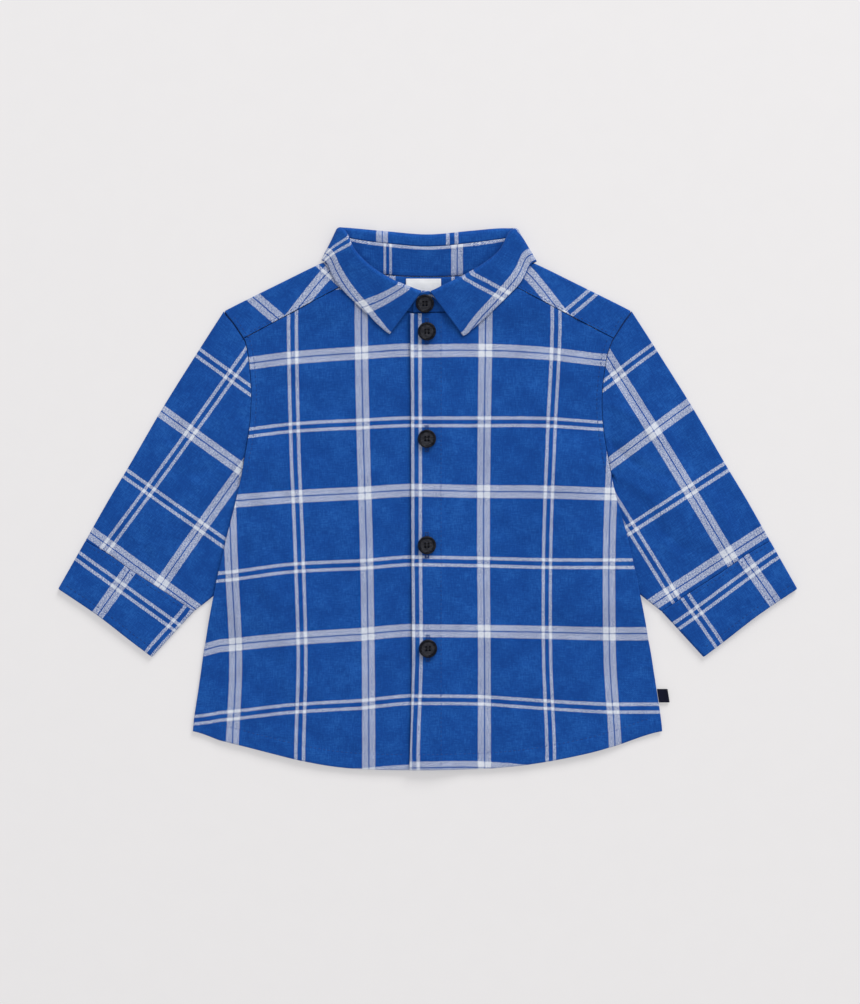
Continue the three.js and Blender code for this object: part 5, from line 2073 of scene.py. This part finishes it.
@dataclass(frozen=True)
class CheckFlannel:
    """Brushed cotton twill: blue with broad white stripes and pairs of narrow ones, both ways."""

    blue: Colour = (0.0088, 0.081, 0.350, 1)
    deep: Colour = (0.0045, 0.052, 0.262, 1)
    white: Colour = (0.735, 0.765, 0.83, 1)
    broad: float = 4.1
    core: float = 0.32
    pair: float = 2.4
    line: float = 1.02
    thread: float = 0.31

    def _stripes(self, bench: NodeBench, number: object, spacing: float) -> Socket:
        """Return where the threads of one direction are white."""
        swing = bench.math("PINGPONG", number, 1.0)
        from_broad = bench.math("MULTIPLY", swing, spacing)
        from_pair = bench.math("SUBTRACT", spacing, from_broad)
        broad = bench.step(from_broad, self.broad + 0.22, self.broad - 0.22)
        open_core = bench.step(from_broad, self.core - 0.12, self.core + 0.22)
        beside = bench.math("ABSOLUTE", bench.math("SUBTRACT", from_pair, self.pair))
        narrow = bench.step(beside, self.line + 0.2, self.line - 0.2)
        return bench.math("MAXIMUM", bench.math("MULTIPLY", broad, open_core), narrow)

    def make(self) -> Material:
        """Weave the cloth.

        Returns:
            The material.
        """
        bench = NodeBench("check flannel")
        uv = bench.tree.nodes.new("ShaderNodeUVMap")
        uv.uv_map = "weave"
        parts = bench.tree.nodes.new("ShaderNodeSeparateXYZ")
        bench.tree.links.new(uv.outputs[0], parts.inputs[0])
        place = bench.place()
        wander = bench.math("MULTIPLY", bench.math("SUBTRACT", bench.noise(place, 420, 2), 0.5), 0.012)
        upright = bench.math("ADD", parts.outputs[0], wander)
        level = bench.math("ADD", parts.outputs[1], wander)
        warp = self._stripes(bench, upright, WARP_SPACING)
        weft = self._stripes(bench, level, WEFT_SPACING)
        across = bench.math("MULTIPLY", parts.outputs[0], WARP_SPACING / self.thread)
        along = bench.math("MULTIPLY", parts.outputs[1], WEFT_SPACING / self.thread)
        diagonal = bench.math("MULTIPLY", bench.math("ADD", across, along), math.pi / 2)
        uneven = bench.math("MULTIPLY", bench.noise(place, 330, 2), 5.0)
        wale = bench.math("SINE", bench.math("ADD", diagonal, uneven))
        cotton = bench.stretched(uv.outputs[0], (WARP_SPACING, WEFT_SPACING, 1))
        speck = bench.math(
            "MULTIPLY_ADD", bench.noise(bench.stretched(cotton, (1.1, 1.5, 1)), 1.0, 1), 1.5, -0.265
        )
        top = bench.math("MULTIPLY_ADD", wale, 0.25, speck, clamp=True)
        slub_up = bench.noise(bench.stretched(cotton, (2.4, 0.16, 1)), 1.0, 3)
        slub_level = bench.noise(bench.stretched(cotton, (0.16, 2.4, 1)), 1.0, 3)
        nap = bench.noise(place, 900, 3, 0.65)
        patches = bench.noise(place, 75, 3, 0.6)
        tone = bench.math("ADD", bench.math("ADD", slub_up, slub_level), bench.math("ADD", nap, patches))
        ground = bench.blend(bench.step(tone, 1.65, 2.35), self.deep, self.blue)
        ground = bench.blend(bench.step(tone, 2.0, 2.5, 0, 0.5), ground, (0.022, 0.125, 0.43, 1))
        pale = bench.blend(bench.step(tone, 1.6, 2.4), (0.53, 0.575, 0.68, 1), self.white)
        warp_colour = bench.blend(warp, ground, pale)
        weft_colour = bench.blend(weft, ground, pale)
        colour = bench.blend(top, weft_colour, warp_colour)
        thread_up = bench.math("SINE", bench.math("MULTIPLY", across, 2 * math.pi))
        thread_level = bench.math("SINE", bench.math("MULTIPLY", along, 2 * math.pi))
        weave = bench.math("MULTIPLY_ADD", bench.math("ADD", thread_up, thread_level), 0.12, top)
        relief = bench.bump(weave, 0.00007, 0.5)
        relief = bench.bump(bench.noise(place, 1600, 3, 0.7), 0.00012, 0.35, relief)
        relief = bench.bump(patches, 0.0006, 0.25, relief)
        return bench.surface(
            Base_Color=colour,
            Roughness=bench.step(nap, 0.2, 0.8, 0.86, 0.97),
            Specular_IOR_Level=0.12,
            Sheen_Weight=0.05,
            Sheen_Roughness=0.45,
            Sheen_Tint=(0.75, 0.82, 1.0, 1),
            Normal=relief,
        )


@dataclass(frozen=True)
class SewingThread:
    """Twisted cotton thread."""

    name: str
    colour: Colour
    shade: Colour

    def make(self) -> Material:
        """Twist the thread.

        Returns:
            The material.
        """
        bench = NodeBench(self.name)
        place = bench.place()
        ply = bench.noise(bench.stretched(place, (1.0, 1.0, 2.5)), 2600, 2)
        colour = bench.blend(bench.step(ply, 0.35, 0.65), self.shade, self.colour)
        relief = bench.bump(ply, 0.00006, 0.5)
        return bench.surface(Base_Color=colour, Roughness=0.7, Specular_IOR_Level=0.3, Normal=relief)


@dataclass(frozen=True)
class ButtonPlastic:
    """Very dark navy moulded plastic with a faint grain like horn."""

    name: str
    dark: Colour
    light: Colour

    def make(self) -> Material:
        """Mould the plastic.

        Returns:
            The material.
        """
        bench = NodeBench(self.name)
        place = bench.place()
        streak = bench.noise(bench.stretched(place, (1.0, 1.8, 1.0)), 520, 4, 0.6)
        colour = bench.blend(bench.step(streak, 0.42, 0.62), self.dark, self.light)
        scratches = bench.noise(bench.stretched(place, (1, 8, 1)), 1500, 3, 0.7)
        return bench.surface(
            Base_Color=colour,
            Roughness=bench.step(scratches, 0.3, 0.7, 0.26, 0.42),
            Specular_IOR_Level=0.14,
            Normal=bench.bump(scratches, 0.00003, 0.35),
        )


@dataclass(frozen=True)
class Ribbon:
    """A narrow woven ribbon."""

    name: str
    colour: Colour
    shade: Colour
    rib: float = 0.0003

    def make(self) -> Material:
        """Weave the ribbon.

        Returns:
            The material.
        """
        bench = NodeBench(self.name)
        place = bench.place()
        parts = bench.tree.nodes.new("ShaderNodeSeparateXYZ")
        bench.tree.links.new(place, parts.inputs[0])
        ribs = bench.math("SINE", bench.math("MULTIPLY", parts.outputs[1], 2 * math.pi / self.rib))
        fine = bench.math("SINE", bench.math("MULTIPLY", parts.outputs[0], 2 * math.pi / self.rib))
        weave = bench.math("MULTIPLY_ADD", bench.math("MULTIPLY", ribs, fine), 0.25, 0.5)
        cloudy = bench.noise(place, 160, 3)
        colour = bench.blend(bench.step(bench.math("ADD", weave, cloudy), 0.55, 1.3), self.shade, self.colour)
        relief = bench.bump(weave, 0.00004, 0.5)
        return bench.surface(
            Base_Color=colour, Roughness=0.7, Specular_IOR_Level=0.12, Sheen_Weight=0.02, Normal=relief
        )


@dataclass(frozen=True)
class PaleTable:
    """The plain pale table under the shirt, lit a little from below."""

    colour: Colour = (0.455, 0.447, 0.450, 1)
    lit: Colour = (0.362, 0.355, 0.358, 1)
    half: float = 3.0

    def make(self) -> None:
        """Lay the table."""
        bench = NodeBench("pale table")
        grain = bench.noise(bench.place(), 60, 4)
        colour = bench.blend(bench.step(grain, 0.3, 0.7), self.colour, (0.460, 0.452, 0.455, 1))
        finish = bench.surface(
            Base_Color=colour,
            Roughness=0.85,
            Specular_IOR_Level=0.1,
            Emission_Color=self.lit,
            Emission_Strength=1.0,
        )
        half = self.half / MM
        corners = np.array(
            [(-half, -half, -0.05), (half, -half, -0.05), (half, half, -0.05), (-half, half, -0.05)]
        )
        table = mesh_object("table_top", corners, np.array([[0, 1, 2, 3]]))
        table.data.materials.append(finish)


@dataclass(frozen=True)
class Studio:
    """The light and the camera, which looks straight down."""

    scale: float = 0.64
    size: tuple[float, float] = (860.0, 1004.0)
    middle: tuple[float, float] = (427.75, 498.5)
    distance: float = 1.8
    sensor: float = 36.0
    world: float = 0.64
    lamp: float = 141.0
    lamp_size: float = 2.0
    lamp_place: tuple[float, float, float] = (1.5, 3.4, 2.4)

    def camera(self) -> None:
        """Hang the camera over the shirt."""
        x = (self.size[0] / 2 - self.middle[0]) * self.scale * MM
        y = (self.middle[1] - self.size[1] / 2) * self.scale * MM
        lens = bpy.data.cameras.new("camera")
        lens.sensor_width = self.sensor
        lens.lens = self.sensor * self.distance / (max(self.size) * self.scale * MM)
        camera = bpy.data.objects.new("camera", lens)
        camera.location = (x, y, self.distance)
        bpy.context.scene.collection.objects.link(camera)
        bpy.context.scene.camera = camera

    def light(self) -> None:
        """Light the shirt softly, with a little more light from the collar's end."""
        world = bpy.data.worlds.new("studio")
        bpy.context.scene.world = world
        world.use_nodes = True
        sky = world.node_tree.nodes["Background"]
        sky.inputs[0].default_value = (1.0, 0.995, 0.99, 1)
        sky.inputs[1].default_value = self.world
        lamp = bpy.data.lights.new("softbox", "AREA")
        lamp.energy, lamp.size = self.lamp, self.lamp_size
        softbox = bpy.data.objects.new("softbox", lamp)
        softbox.location = self.lamp_place
        aim = Vector((0, 0, 0)) - Vector(self.lamp_place)
        softbox.rotation_euler = aim.to_track_quat("-Z", "Y").to_euler()
        bpy.context.scene.collection.objects.link(softbox)
        bpy.context.scene.view_settings.view_transform = "Standard"


SLEEVE_CHARTS = {
    Side.LEFT: StripeChart(LEFT_SLEEVE_LENGTHS, LEFT_SLEEVE_ROUNDS, 0, 1),
    Side.RIGHT: StripeChart(RIGHT_SLEEVE_LENGTHS, RIGHT_SLEEVE_ROUNDS, 1, 1),
}
CUFF_CHARTS = {
    Side.LEFT: StripeChart(LEFT_CUFF_LENGTHS, LEFT_CUFF_ROUNDS, 1, 1),
    Side.RIGHT: StripeChart(RIGHT_CUFF_LENGTHS, RIGHT_CUFF_ROUNDS, 1, 1),
}


def cloth_pieces() -> list[ClothPiece]:
    """Return every piece of the shirt's cloth, from the bottom layer up."""
    pieces: list[ClothPiece] = [BackPanel("panel_back", "back", (0.300, 0.272), 0.0682)]
    for side in Side:
        name = side.suffix
        sleeve = Sleeve("tube_sleeve" + name, "sleeve" + name, (0.226, 0.168), 0.0236, side=side)
        sleeve.chart, sleeve.width, sleeve.length = SLEEVE_CHARTS[side], 100.0, 172.0
        sleeve.crease_depth = 1.7 if side is Side.LEFT else 2.6
        cuff = Cuff("band_cuff" + name, "cuff" + name, (0.171, 0.036), 0.0058, side=side)
        cuff.chart, cuff.width, cuff.length = CUFF_CHARTS[side], 80.0, 34.0
        cuff.cloth, cuff.solid_cloth, cuff.cell = 1.35, LAY.cuff_cloth, 1.1
        pieces += [sleeve, cuff]
    pieces.append(
        FrontPanel("panel_front_left", "front_left", (0.161, 0.292), 0.0406, ("panel_back",), Side.LEFT)
    )
    pieces.append(
        FrontPanel("panel_front_right", "front_right", (0.163, 0.292), 0.0408, ("panel_back",), Side.RIGHT)
    )
    pieces.append(Yoke("panel_yoke", "yoke", (0.245, 0.110), 0.0144, ("panel_back",)))
    pieces.append(CollarStand("band_stand", "collar_stand", (0.270, 0.022), 0.0044))
    pieces.append(CollarLeaf("leaf_collar", "collar_leaf", (0.300, 0.046), 0.0104))
    return pieces


def main() -> None:
    """Build and dress the shirt, lay it on the table and light it."""
    studio = Studio()
    studio.camera()
    studio.light()
    flannel = CheckFlannel().make()
    blue_thread = SewingThread("blue thread", (0.008, 0.058, 0.26, 1), (0.005, 0.038, 0.18, 1)).make()
    # Nearly black thread: partly the thread's own colour, partly painted shade inside the button holes, which
    # it nearly fills.
    thread_and_hole_shade = SewingThread("thread and hole shade", (0.002, 0.0025, 0.007, 1), (0.001, 0.0012, 0.004, 1)).make()
    cloths = [piece.make(flannel) for piece in cloth_pieces()]
    for side in Side:
        SeamAllowance().close(side, blue_thread)
    NeckLabel().make(Ribbon("white ribbon", (0.84, 0.85, 0.86, 1), (0.74, 0.75, 0.76, 1)).make())
    SideTag().make(Ribbon("navy ribbon", (0.004, 0.005, 0.020, 1), (0.0025, 0.003, 0.011, 1)).make())
    buttons = Buttons()
    buttons.make(
        ButtonPlastic("button plastic", (0.014, 0.015, 0.021, 1), (0.034, 0.035, 0.043, 1)).make(),
        ButtonPlastic("button rim", (0.001, 0.0015, 0.005, 1), (0.013, 0.0135, 0.018, 1)).make(),
        thread_and_hole_shade,
    )
    top = ClothTop(cloths)
    Topstitching().make(top, blue_thread)
    Buttonholes().make(buttons.places[1:], top, blue_thread)
    PaleTable().make()


if __name__ == "__main__":
    logging.basicConfig(level=logging.INFO, format="%(name)s %(message)s")
    main()
